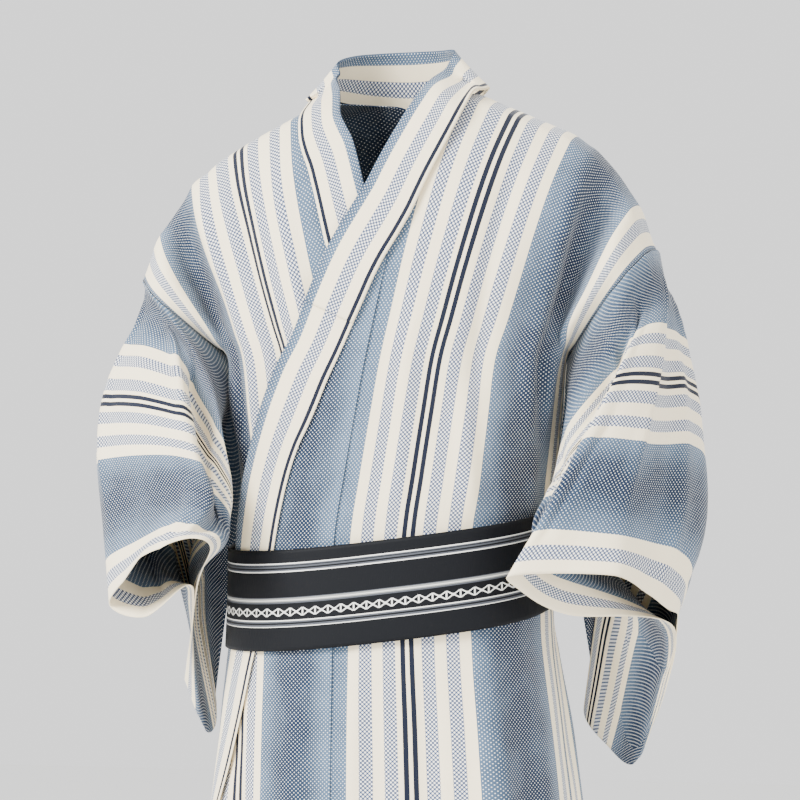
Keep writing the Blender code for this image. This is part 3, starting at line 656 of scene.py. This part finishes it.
# Height of creases at places a, b: each is a bell across its line, faded out at the line's two ends
def creaseHeight(a, b, creases):
    total = np.zeros(a.shape)
    for a0, b0, a1, b1, width, height in creases:
        along, away = byLine(a, b, a0, b0, a1, b1)
        ends = smoothStep(along, -0.1, 0.22) * (1 - smoothStep(along, 0.72, 1.12))
        wander = away + 0.004 * np.sin(along * 5.0 + a0 * 90.0)
        total = total + height * np.exp(-(wander / width) ** 2) * ends
    return total


# Height of pressed folds at places a, b: each falls straight off both sides of its line, sharp on top
def pressedFold(a, b, folds):
    total = np.zeros(a.shape)
    for a0, b0, a1, b1, width, height in folds:
        along, away = byLine(a, b, a0, b0, a1, b1)
        away = np.hypot(away, 0.0015)
        total = total + height * np.clip(1 - away / width, 0.0, 1.0) * smoothStep(along, -0.2, 0.25)
    return total


# Slow unevenness of lived-in cloth: three long waves of unlike length crossing each other
def slowWaves(a, b, height):
    return height * (np.sin(a * 46 + b * 17 + 1.3) * 0.5 + np.sin(a * -31 + b * 39 + 0.4) * 0.3
                     + np.sin(a * 83 + b * 61 + 2.2) * 0.2)


# Distance along a grid from its first row, the mean over its columns, at every point
def runAlong(points):
    steps = np.linalg.norm(np.diff(points, axis=0), axis=-1).mean(axis=1)
    return np.repeat(np.concatenate([[0.0], np.cumsum(steps)])[:, None], points.shape[1], axis=1)


# A thin shell over a grid: quads between neighbouring points, given a wall outwards, with a map in real
# metres, first across the cloth's width and second along it
def shell(name, points, first, second, material, wall=0.0009, closed=False, flip=False):
    rows, columns = points.shape[:2]
    index = np.arange(rows * columns).reshape(rows, columns)
    mapGrid = np.stack([first, second], axis=-1)
    mapIndex = np.arange(mapGrid.shape[0] * mapGrid.shape[1]).reshape(mapGrid.shape[:2])
    if closed:
        index = np.concatenate([index, index[:, :1]], axis=1)
    corners = [(slice(0, -1), slice(0, -1)), (slice(0, -1), slice(1, None)),
               (slice(1, None), slice(1, None)), (slice(1, None), slice(0, -1))]
    if flip:
        corners = corners[::-1]
    faces = np.stack([index[c] for c in corners], axis=-1).reshape(-1, 4)
    mapFaces = np.stack([mapIndex[c] for c in corners], axis=-1).reshape(-1, 4)
    mesh = bpy.data.meshes.new(name)
    mesh.vertices.add(rows * columns)
    mesh.vertices.foreach_set("co", points.reshape(-1))
    mesh.loops.add(faces.size)
    mesh.loops.foreach_set("vertex_index", faces.reshape(-1).astype(np.int32))
    mesh.polygons.add(len(faces))
    mesh.polygons.foreach_set("loop_start", np.arange(0, faces.size, 4, dtype=np.int32))
    mesh.update(calc_edges=True)
    layerMap = mesh.uv_layers.new(name="cloth")
    mapCorners = mapGrid.reshape(-1, 2)[mapFaces.reshape(-1)]
    layerMap.data.foreach_set("uv", mapCorners.reshape(-1).astype(np.float32))
    mesh.shade_smooth()
    mesh.materials.append(material)
    piece = bpy.data.objects.new(name, mesh)
    bpy.context.scene.collection.objects.link(piece)
    solid = piece.modifiers.new("Thickness", "SOLIDIFY")
    solid.thickness = wall
    solid.offset = 1.0
    return piece


# Joins a piece to the frame: it rides on the root and stands for its CAD node
def place(piece, node, slotName, flat, held, restsOn, area):
    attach(piece, "root")
    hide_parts(node)
    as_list(restsOn)
    print("piece", piece.name, "triangles", 4 * len(piece.data.polygons))


# An sRGB hex code as a linear colour: a straight line below 0.04045 and a power of 2.4 above it
def linear(code):
    parts = [int(code[k:k + 2], 16) / 255 for k in (0, 2, 4)]
    return tuple(c / 12.92 if c <= 0.04045 else ((c + 0.055) / 1.055) ** 2.4 for c in parts) + (1.0,)


# Adds a node. Each input is a plain value, a socket, or a node, which gives its first output in use
def add(tree, kind, inputs=None, **settings):
    node = tree.nodes.new("ShaderNode" + kind)
    for name, value in settings.items():
        setattr(node, name, value)
    for key, value in (inputs or {}).items():
        if isinstance(value, bpy.types.Node):
            value = next(socket for socket in value.outputs if socket.enabled)
        if isinstance(value, bpy.types.NodeSocket):
            tree.links.new(value, node.inputs[key])
        else:
            node.inputs[key].default_value = value
    return node


# Gives a ramp its stops, each a position and a colour
def setStops(node, stops, mode):
    ramp = node.color_ramp
    ramp.interpolation = mode
    ramp.elements.remove(ramp.elements[-1])
    ramp.elements[0].position, ramp.elements[0].color = stops[0]
    for position, color in stops[1:]:
        ramp.elements.new(position).color = color


# A material with its nodes and shader, and the shader's values that are the same all over
def newMaterial(name, roughness, specular, sheen):
    material = bpy.data.materials.new(name)
    material.use_nodes = True
    shader = material.node_tree.nodes["Principled BSDF"]
    shader.inputs["Roughness"].default_value = roughness
    shader.inputs["Specular IOR Level"].default_value = specular
    shader.inputs["Sheen Weight"].default_value = sheen
    return material, material.node_tree, shader


cotton = {
    "cream": "FBECCB", "white": "FAFAF6", "navy": "141A2A", "checkBlue": "434F6B",
    "paleBlue": "53687F", "deepBlue": "1A293F",  # a blue band's edges and its middle
    "dotSpacing": 4.0,  # millimetres between the points of each of the two square lattices
    "smallDot": (0.06, 0.165),  # where a dot's edge starts and ends, in spacings from its middle
    "largeDot": (0.195, 0.285),
}
# Stripes across the cloth: width in millimetres, and c cream, k checked, n navy or b dotted blue
wideGroup = [(10.5, "c"), (12, "k"), (12, "c"), (13, "k"), (5.5, "c"), (4.8, "n"), (3.7, "c"),
             (4.8, "n"), (5.7, "c"), (13.5, "k"), (11.5, "c"), (12, "k"), (11, "c")]
narrowGroup = [(13, "c"), (12, "k"), (13, "c")]
stripes = {
    "leftBody": [(176, "b")] + wideGroup + [(96, "b")] + narrowGroup + [(40, "b")],
    "rightBody": [(214, "b")] + wideGroup + [(58, "b")] + narrowGroup + [(40, "b")],
    "sleeve": [(105, "b")] + wideGroup + [(87, "b")] + narrowGroup + [(60, "b")],
    "overlap": [(70, "b"), (8, "c"), (12, "k"), (6, "c"), (4, "n"), (4, "c"), (4, "n"), (6.5, "c"),
                (11, "k"), (12, "c"), (12, "k"), (12, "c"), (60, "b")],
    "collar": [(3, "c"), (4, "n"), (11, "c"), (13, "k"), (14, "c"), (60, "b")],
}
bodyStart = -155  # millimetres across the cloth where the body's stripes begin


# Plain-weave cotton, dyed and washed: matt, with a faint fuzz at grazing angles. The cream stripes are
# even, the checks crisp, and the blue bands deepen to their middles, cloudy, under small white dots
def stripedCotton(name, pattern, start):
    material, tree, shader = newMaterial(name, 0.86, 0.18, 0.12)
    merged, navyLines, at = [], [], 0.0
    for width, letter in pattern:
        if letter == "n":
            navyLines.append((at + width / 2, width / 2))
            letter = "c"
        if merged and merged[-1][1] == letter:
            merged[-1] = (merged[-1][0] + width, letter)
        else:
            merged.append((width, letter))
        at += width
    span = sum(width for width, _ in merged)
    clothMap = add(tree, "UVMap", uv_map="cloth")
    parts = add(tree, "SeparateXYZ", {0: clothMap})
    across = add(tree, "Math", {0: parts.outputs[0], 1: start / 1000}, operation="SUBTRACT")
    share = add(tree, "Math", {0: across, 1: 1000 / span}, operation="MULTIPLY", use_clamp=True)

    # Ramps over the share of the width: which stripes are cream, which kind each is, and how deep the
    # blue is, from 0 at a band's edges through 0.78 to 1 in its middle
    tone = {"c": 0.0, "k": 0.5, "b": 1.0}
    kinds, deeps, at = [], [], 0.0
    for width, letter in merged:
        kinds.append((at / span, (tone[letter],) * 3 + (1.0,)))
        if letter == "b":
            for part, deep in ((0.0, 0.0), (0.26, 0.78), (0.5, 1.0), (0.74, 0.78), (1.0, 0.0)):
                deeps.append((min((at + width * part) / span, 1.0), (deep,) * 3 + (1.0,)))
        at += width
    kind = add(tree, "ValToRGB", {0: share})
    setStops(kind, kinds, "CONSTANT")
    deep = add(tree, "ValToRGB", {0: share})
    setStops(deep, deeps, "LINEAR")

    # Dots in a slanted lattice: the distance to the nearest point of two square lattices
    perMetre = 1000 / cotton["dotSpacing"]
    scaled = add(tree, "VectorMath", {0: clothMap, 1: (perMetre, perMetre, 0.0)}, operation="MULTIPLY")
    shifted = add(tree, "VectorMath", {0: scaled, 1: (0.5, 0.5, 0.0)}, operation="ADD")
    nearest = []
    for source in (scaled, shifted):
        cell = add(tree, "VectorMath", {0: source}, operation="FRACTION")
        middle = add(tree, "VectorMath", {0: cell, 1: (0.5, 0.5, 0.0)}, operation="SUBTRACT")
        nearest.append(add(tree, "VectorMath", {0: middle}, operation="LENGTH"))
    gap = add(tree, "Math", {0: nearest[0], 1: nearest[1]}, operation="MINIMUM")
    smallDot, largeDot = (
        add(tree, "MapRange", {"Value": gap, "From Min": cotton[size][0], "From Max": cotton[size][1],
                               "To Min": 1.0, "To Max": 0.0})
        for size in ("smallDot", "largeDot"))

    # The blue is dyed unevenly: cloudy over about 40 mm, and streaky along yarns about 1 mm apart
    cloud = add(tree, "TexNoise", {"Vector": clothMap, "Scale": 26.0, "Detail": 4.0})
    streakMap = add(tree, "VectorMath", {0: clothMap, 1: (900.0, 35.0, 0.0)}, operation="MULTIPLY")
    streak = add(tree, "TexNoise", {"Vector": streakMap, "Scale": 1.0, "Detail": 2.0})
    uneven = add(tree, "Math", {0: cloud, 1: 1.0, 2: -0.46}, operation="MULTIPLY_ADD")
    yarn = add(tree, "Math", {0: streak, 1: 0.5, 2: -0.25}, operation="MULTIPLY_ADD")
    both = add(tree, "Math", {0: uneven, 1: yarn}, operation="ADD")
    depth = add(tree, "Math", {0: deep, 1: both}, operation="ADD", use_clamp=True)
    pale, deepest = linear(cotton["paleBlue"]), linear(cotton["deepBlue"])
    blue = add(tree, "Mix", {0: depth, 6: pale, 7: deepest}, data_type="RGBA")
    white = linear(cotton["white"])
    dotted = add(tree, "Mix", {0: smallDot, 6: blue, 7: white}, data_type="RGBA")
    checkBlue = linear(cotton["checkBlue"])
    checked = add(tree, "Mix", {0: largeDot, 6: checkBlue, 7: white}, data_type="RGBA")
    isChecked = add(tree, "Math", {0: kind, 1: 0.25}, operation="GREATER_THAN")
    isBlue = add(tree, "Math", {0: kind, 1: 0.75}, operation="GREATER_THAN")
    cream = linear(cotton["cream"])
    result = add(tree, "Mix", {0: isChecked, 6: cream, 7: checked}, data_type="RGBA")
    result = add(tree, "Mix", {0: isBlue, 6: result, 7: dotted}, data_type="RGBA")
    # Each navy line is drawn by its distance from its middle, sharper than a ramp's table allows
    for middle, half in navyLines:
        inLine = add(tree, "Math", {0: across, 1: middle / 1000, 2: half / 1000}, operation="COMPARE")
        result = add(tree, "Mix", {0: inLine, 6: result, 7: linear(cotton["navy"])}, data_type="RGBA")
    tree.links.new(result.outputs[2], shader.inputs["Base Color"])

    # Crumple of a washed cloth, about 26 mm across, and its weave, drawn 1.1 mm apart because the real
    # half millimetre is too fine to show
    crumple = add(tree, "TexNoise", {"Vector": clothMap, "Scale": 38.0, "Detail": 3.0})
    weave = add(tree, "TexNoise", {"Vector": clothMap, "Scale": 900.0, "Detail": 1.0})
    low = add(tree, "Bump", {"Height": crumple, "Strength": 0.30, "Distance": 0.004})
    fine = add(tree, "Bump", {"Height": weave, "Strength": 0.22, "Distance": 0.0006, "Normal": low})
    tree.links.new(fine.outputs[0], shader.inputs["Normal"])
    return material


# The obi's colours, and its stripes down its width: from how many millimetres, and in which colour
obiCloth = {
    "black": "07090E", "line": "E9E8E2", "grey": "8E8F8C", "dim": "4C4F55",
    "stripes": [(0, "black"), (13, "line"), (14, "dim"), (15, "black"), (16, "dim"), (17.5, "black"),
                (19, "dim"), (20.5, "line"), (21.5, "black"), (46, "dim"), (47, "grey"), (48.5, "line"),
                (49.3, "grey"), (50.5, "dim"), (52, "black"), (68, "line"), (69, "dim"),
                (70.5, "black"), (72, "dim"), (74, "line"), (75, "black")],
    "figureStep": 0.013,
    "figureMiddle": 0.0605,  # the band of figures is 8 mm high about this distance down
    "figureHalf": 0.004,
}


# Ribbed weave of an obi: closer and a little smoother than the cotton, near black, with thin
# white lines and a row of small plain figures that look woven in
def wovenObi(name):
    material, tree, shader = newMaterial(name, 0.62, 0.15, 0.02)
    clothMap = add(tree, "UVMap", uv_map="cloth")
    parts = add(tree, "SeparateXYZ", {0: clothMap})
    down, along = parts.outputs[1], parts.outputs[0]
    share = add(tree, "Math", {0: down, 1: 1 / obi["width"]}, operation="MULTIPLY", use_clamp=True)
    lines = add(tree, "ValToRGB", {0: share})
    setStops(lines, [(height / 98, linear(obiCloth[color])) for height, color in obiCloth["stripes"]],
             "CONSTANT")
    # A cross where the distances along and down from the figure's middle are alike, a diamond where
    # their sum is small, and a bar at the figure's two ends
    figure = add(tree, "Math", {0: along, 1: 1 / obiCloth["figureStep"]}, operation="MULTIPLY")
    cell = add(tree, "Math", {0: figure}, operation="FRACT")
    a = add(tree, "Math", {0: cell, 1: 2.0, 2: -1.0}, operation="MULTIPLY_ADD")
    aside = add(tree, "Math", {0: a}, operation="ABSOLUTE")
    steep = 1 / obiCloth["figureHalf"]
    b = add(tree, "Math", {0: down, 1: steep, 2: -steep * obiCloth["figureMiddle"]},
            operation="MULTIPLY_ADD")
    high = add(tree, "Math", {0: b}, operation="ABSOLUTE")
    cross = add(tree, "Math", {0: aside, 1: high, 2: 0.17}, operation="COMPARE")
    total = add(tree, "Math", {0: aside, 1: high}, operation="ADD")
    diamond = add(tree, "Math", {0: total, 1: 0.34}, operation="LESS_THAN")
    bar = add(tree, "Math", {0: aside, 1: 0.88}, operation="GREATER_THAN")
    drawn = add(tree, "Math", {0: cross, 1: diamond}, operation="MAXIMUM")
    drawn = add(tree, "Math", {0: drawn, 1: bar}, operation="MAXIMUM")
    inside = add(tree, "Math", {0: high, 1: 1.0}, operation="LESS_THAN")
    shown = add(tree, "Math", {0: drawn, 1: inside}, operation="MULTIPLY")
    result = add(tree, "Mix", {0: shown, 6: lines, 7: linear(obiCloth["line"])}, data_type="RGBA")
    tree.links.new(result.outputs[2], shader.inputs["Base Color"])
    # Ribs run along the belt's width, about 0.7 mm apart
    ribMap = add(tree, "VectorMath", {0: clothMap, 1: (1400.0, 120.0, 0.0)}, operation="MULTIPLY")
    ribs = add(tree, "TexNoise", {"Vector": ribMap, "Scale": 1.0, "Detail": 1.0})
    relief = add(tree, "Bump", {"Height": ribs, "Strength": 0.35, "Distance": 0.0006})
    tree.links.new(relief.outputs[0], shader.inputs["Normal"])
    return material


bodyCottons = {side: stripedCotton("Cotton, striped, %s body" % side, stripes[side + "Body"], bodyStart)
               for side in ("left", "right")}
overlapCotton = stripedCotton("Cotton, striped, overlap panels", stripes["overlap"], 0)
sleeveCotton = stripedCotton("Cotton, striped, sleeves", stripes["sleeve"], 0)
collarCotton = stripedCotton("Cotton, striped, collar", stripes["collar"], 0)
obiWeave = wovenObi("Obi weave, near black")
print("materials done")

# Creases of the body panels in millimetres: across and level of both ends, half width, height
bodyCreases = {
    "gain": 1.35,
    "waves": 0.0012,
    "leftFront": [
        (100, -50, 128, -300, 12, -4), (160, -40, 196, -340, 11, 5.5),
        (186, -100, 214, -380, 10, -5), (232, -200, 205, -430, 12, 4.5),
        (48, -180, 62, -430, 13, 3), (120, -280, 140, -450, 11, 4), (20, -412, 250, -400, 16, 5),
        (30, -520, 22, -980, 13, 4), (92, -520, 104, -930, 15, -4.5),
        (150, -510, 172, -1150, 16, 6), (218, -780, 240, -1250, 15, -5),
        (60, -860, 72, -1370, 20, 6), (190, -960, 206, -1370, 22, -6)],
    "leftBack": [
        (20, -60, 50, -330, 13, -3.5), (110, -60, 80, -360, 12, 4.5),
        (200, -120, 150, -370, 12, -5), (240, -240, 190, -380, 11, 4.5),
        (60, -500, 70, -1000, 14, 5), (140, -500, 155, -1200, 16, -5.5),
        (225, -520, 220, -1050, 15, 5), (30, -900, 40, -1370, 20, -5.5)],
    "rightFront": [
        (70, -50, 84, -320, 12, 4), (128, -50, 118, -360, 10, -4.5),
        (176, -60, 160, -400, 12, 5.5), (214, -130, 196, -420, 10, -5),
        (240, -250, 180, -430, 11, 4), (80, -410, 240, -424, 15, 4.5),
        (200, -530, 190, -1050, 15, 5), (250, -560, 262, -1200, 14, -4.5)],
    "rightBack": [
        (30, -80, 45, -360, 12, 4), (120, -50, 100, -340, 12, -4.5),
        (190, -100, 145, -360, 11, 5), (238, -220, 200, -380, 12, -4.5),
        (50, -520, 45, -1100, 15, -5), (125, -500, 140, -950, 14, 5.5),
        (215, -540, 210, -1250, 16, -5), (90, -950, 100, -1370, 20, 5.5)],
}
# The same for the overlap panels, and how much of it shows on each
overlapCreases = {
    "share": {"left": 1.0, "right": 0.3},
    "lines": [
        (40, -560, 30, -1050, 14, 3.5), (95, -600, 110, -1200, 16, -4),
        (60, -900, 55, -1370, 18, 4.5), (12, -260, 20, -400, 10, 2)],
}


# 0 where the belt holds the cloth flat, rising smoothly to 1 clear of it
def clearOfBelt(level):
    return smoothStep(np.abs(level - obi["level"] - 0.02), 0.045, 0.085)


for side, word in ((1, "left"), (-1, "right")):
    points, across = bodyPanel(side)
    points = partAtCentreBack(points, side)
    rowNumbers = np.repeat(np.arange(len(points))[:, None], points.shape[1], axis=1)
    fine = refine(np.dstack([points, across, rowNumbers]), 280, 84)
    grid, first, rowNumbers = fine[..., :3], fine[..., 3], fine[..., 4]
    shoulderRow = len(body["lowLevels"]) + len(body["topDowns"]) - 1
    front = 1 - smoothStep(rowNumbers, shoulderRow - 0.5, shoulderRow + 0.5)
    level = grid[..., 2]
    height = creaseHeight(first, level, inMetres(bodyCreases[word + "Front"])) * front
    height = height + creaseHeight(first, level, inMetres(bodyCreases[word + "Back"])) * (1 - front)
    height = bodyCreases["gain"] * height + slowWaves(first, level, bodyCreases["waves"])
    seam = body["frontWidth"]
    edges = smoothStep(first, -0.01, 0.02) * (1 - smoothStep(first, seam - 0.012, seam))
    # the right front lies flat where the left one covers it
    under = 1.0 if side > 0 else smoothStep(-grid[..., 0], -0.02, 0.05) * front + (1 - front)
    height = height * edges * clearOfBelt(level) * under
    grid = grid + normalsOf(grid, False, side < 0) * height[..., None]
    piece = shell(word + "BodyPanel", grid, first, runAlong(grid), bodyCottons[word], flip=side < 0)
    place(piece, word + "_body", "body", (0.300, 2.95), "hung", (), 0.80)

    points = overlapPanel(side)
    edge = np.array([np.linalg.norm(row - row[1], axis=-1) for row in points])
    edge[:, 0] = -overlap["seamLap"]
    points = movedOut(points, body["wall"] + 0.0002, side > 0)
    fine = refine(np.dstack([points, edge]), 150, 40)
    grid, first = fine[..., :3], fine[..., 3]
    level = grid[..., 2]
    height = creaseHeight(first, level, inMetres(overlapCreases["lines"]))
    height = height * overlapCreases["share"][word] * smoothStep(first, 0.0, 0.02) * clearOfBelt(level)
    grid = grid + normalsOf(grid, False, side > 0) * height[..., None]
    piece = shell(word + "OverlapPanel", grid, first, runAlong(grid), overlapCotton, flip=side > 0)
    place(piece, word + "_okumi", "overlap", (0.155, 1.20), "hung", (word + "BodyPanel",), 0.14)
print("body and overlap panels done")

# Creases of the sleeves, each from (distance from the armhole, place) to the same, half width, height.
# Places are counted round the sleeve from its top, and placeLength scales them to metres
sleeveCreases = {
    "placeLength": 0.115,
    "waves": 0.0010,
    "left": [
        (0.02, 0.1, 0.3, 0.1, 0.006, 0.0035), (0.03, 1.3, 0.22, 1.05, 0.011, -0.005),
        (0.05, 2.2, 0.26, 1.6, 0.01, 0.0055), (0.1, 2.9, 0.3, 2.4, 0.01, -0.0045),
        (0.02, 7.4, 0.2, 7.1, 0.012, 0.0055), (0.08, 6.9, 0.32, 6.6, 0.013, -0.006),
        (0.12, 7.6, 0.34, 7.3, 0.011, 0.005), (0.16, 6.2, 0.34, 5.7, 0.012, 0.0055),
        (0.05, 4.3, 0.3, 4.1, 0.013, -0.0045), (0.2, 0.6, 0.33, 0.9, 0.009, -0.0035)],
    "right": [
        (0.02, 0.2, 0.28, 0.05, 0.006, 0.0035), (0.03, 1.2, 0.2, 0.9, 0.011, 0.005),
        (0.06, 1.9, 0.24, 1.5, 0.01, -0.005), (0.1, 2.6, 0.3, 2.2, 0.01, 0.0045),
        (0.03, 7.5, 0.24, 7.2, 0.012, -0.005), (0.08, 7.0, 0.33, 6.6, 0.012, 0.006),
        (0.14, 6.3, 0.34, 6.0, 0.012, -0.0055), (0.05, 4.4, 0.28, 4.0, 0.012, 0.0045),
        (0.22, 0.7, 0.34, 1.1, 0.009, 0.0035)],
}
# In the same way, the fold that the cloth keeps, pressed, along the sleeve's top
pressedFolds = {
    "left": [(0.07, 0.27, 0.37, -0.03, 0.05, 0.0085)],
    "right": [(0.09, 0.45, 0.37, 0.85, 0.042, 0.006)],
}
for side, word in ((1, "left"), (-1, "right")):
    grid, steps, places = sleeveGrid(side)
    unit = sleeveCreases["placeLength"]
    a = np.repeat(steps[:, None], len(places), axis=1)
    b = np.repeat(places[None] * unit, len(steps), axis=0)
    creases = [(a0, b0 * unit, a1, b1 * unit, width, height)
               for a0, b0, a1, b1, width, height in sleeveCreases[word]]
    waves = slowWaves(a, b, sleeveCreases["waves"]) * np.sin(places * math.pi / 4) ** 2
    height = creaseHeight(a, b, creases) + waves
    for shift in (0.0, 8.0):
        pressed = [(a0, (b0 + shift) * unit, a1, (b1 + shift) * unit, width, rise)
                   for a0, b0, a1, b1, width, rise in pressedFolds[word]]
        height = height + pressedFold(a, b, pressed)
    height = height * smoothStep(a, 0.0, 0.03)
    grid = grid + normalsOf(grid, True, side < 0) * height[..., None]
    # The map's own seam lies at the pouch's bottom, as the sewn one does, and counts from the top
    seamColumn = int(np.argmin(np.abs(places - 5.0)))
    grid = np.roll(grid, -seamColumn, axis=1)
    first = np.repeat(steps[:, None], len(places) + 1, axis=1)
    stepsRound = np.linalg.norm(np.diff(np.concatenate([grid, grid[:, :1]], axis=1), axis=1), axis=-1)
    second = np.concatenate([np.zeros((len(steps), 1)), np.cumsum(stepsRound, axis=1)], axis=1)
    topColumn = len(places) - seamColumn
    second = second - second[:, topColumn:topColumn + 1]
    piece = shell(word + "Sleeve", grid, first, second, sleeveCotton, closed=True, flip=side < 0)
    place(piece, word + "_sleeve", "sleeve", (0.350, 0.84), "hung", (word + "BodyPanel",), 0.25)
print("sleeves done")

band = collarRows()
over = movedOut(overCollarRows(band), collar["wall"] + 0.0003, False)
for name, node, coarse, fineRows, waves, length, restsOn in (
        ("collarBand", "collar", band, 420, 0.0004, 1.95, ("leftBodyPanel", "rightBodyPanel")),
        ("overCollarBand", "over_collar", over, 260, 0.0, 0.95, ("collarBand",))):
    share = np.repeat(np.linspace(1.0, 0.0, coarse.shape[1])[None], len(coarse), axis=0)
    fine = refine(np.dstack([coarse, share * collar["width"]]), fineRows, 22)
    grid, first = fine[..., :3], fine[..., 3]
    second = runAlong(grid)
    grid = grid + normalsOf(grid, False, False) * slowWaves(second, first, waves)[..., None]
    piece = shell(name, grid, first, second, collarCotton)
    place(piece, node, "collar", (0.055, length), "laid", restsOn, None)
print("collar done")

fineRows, fineColumns = 26, 260
fine = refine(obiRows(), fineRows, fineColumns, True)
middle = np.concatenate([fine[13], fine[13, :1]])
lengthRound = float(np.linalg.norm(np.diff(middle, axis=0), axis=-1).sum())
turns = np.arange(fineColumns + 1) / fineColumns
first = np.repeat(turns[None] * lengthRound, fineRows, axis=0)
second = (1 - np.arange(fineRows) / (fineRows - 1)) * obi["width"]
second = np.repeat(second[:, None], fineColumns + 1, axis=1)
piece = shell("obiBand", fine, first, second, obiWeave, wall=0.0014, closed=True)
place(piece, "obi", "belt", (1.0, 0.098), "stretched", ("leftBodyPanel", "rightBodyPanel"), 0.095)
for points, name, node, cut in zip(obiKnot(), ("obiKnotWrap", "obiUpperEnd", "obiLowerEnd"),
                                   ("obi_knot", "obi_end_upper", "obi_end_lower"),
                                   ((0.095, 0.052), (0.165, 0.046), (0.150, 0.046))):
    fine = refine(points, 14, 50)
    first = runAlong(fine.transpose(1, 0, 2)).T
    second = np.repeat(np.linspace(0.0, obi["width"] / 2, 14)[:, None], 50, axis=1)
    piece = shell(name, fine, first, second, obiWeave, wall=0.0016, flip=True)
    place(piece, node, "belt", cut, "folded", ("obiBand",), None)
print("belt done")

# Pale paper floor below the hem, matt and without marks
floorMesh = bpy.data.meshes.new("floor")
floorCorners = [(-6, -6, -1.43), (6, -6, -1.43), (6, 6, -1.43), (-6, 6, -1.43)]
floorMesh.from_pydata(floorCorners, [], [(0, 1, 2, 3)])
floor = bpy.data.objects.new("floor", floorMesh)
bpy.context.scene.collection.objects.link(floor)
pale, _, paleShader = newMaterial("Paper, pale", 0.9, 0.5, 0.0)
paleShader.inputs["Base Color"].default_value = linear("F4F4F3")
floorMesh.materials.append(pale)

# Soft light: bright surroundings, a key from the robe's right, a wide fill and a lamp behind
studio = {
    "surroundings": 1.45,
    "lamps": {  # place, size in metres, watts
        "key": ((-1.9, -2.6, 1.5), 1.5, 330.0),
        "fill": ((2.6, -2.2, 0.4), 2.4, 55.0),
        "back": ((0.6, 2.8, 1.4), 2.0, 50.0),
    },
    "aim": (0.0, 0.0, -0.35),
    "cameraAway": 3.0,
    "cameraHeight": -0.29,
}
world = bpy.data.worlds.new("studio")
world.use_nodes = True
world.node_tree.nodes["Background"].inputs["Color"].default_value = (1.0, 1.0, 1.0, 1.0)
world.node_tree.nodes["Background"].inputs["Strength"].default_value = studio["surroundings"]
bpy.context.scene.world = world
for name, (spot, size, power) in studio["lamps"].items():
    lamp = bpy.data.lights.new(name, "AREA")
    lamp.size = size
    lamp.energy = power
    holder = bpy.data.objects.new(name, lamp)
    holder.location = spot
    towards = np.array(studio["aim"]) - np.array(spot)
    holder.rotation_euler = (math.atan2(math.hypot(towards[0], towards[1]), -towards[2]), 0.0,
                             math.atan2(-towards[0], towards[1]))
    bpy.context.scene.collection.objects.link(holder)

camera = bpy.data.cameras.new("camera")
camera.sensor_width = 36.0
camera.lens = 135.0
cameraHolder = bpy.data.objects.new("camera", camera)
away = studio["cameraAway"]
cameraHolder.location = (away * math.sin(viewTurn), -away * math.cos(viewTurn), studio["cameraHeight"])
cameraHolder.rotation_euler = (math.pi / 2, 0.0, viewTurn)
bpy.context.scene.collection.objects.link(cameraHolder)
bpy.context.scene.camera = cameraHolder
print("stage, light and camera done")
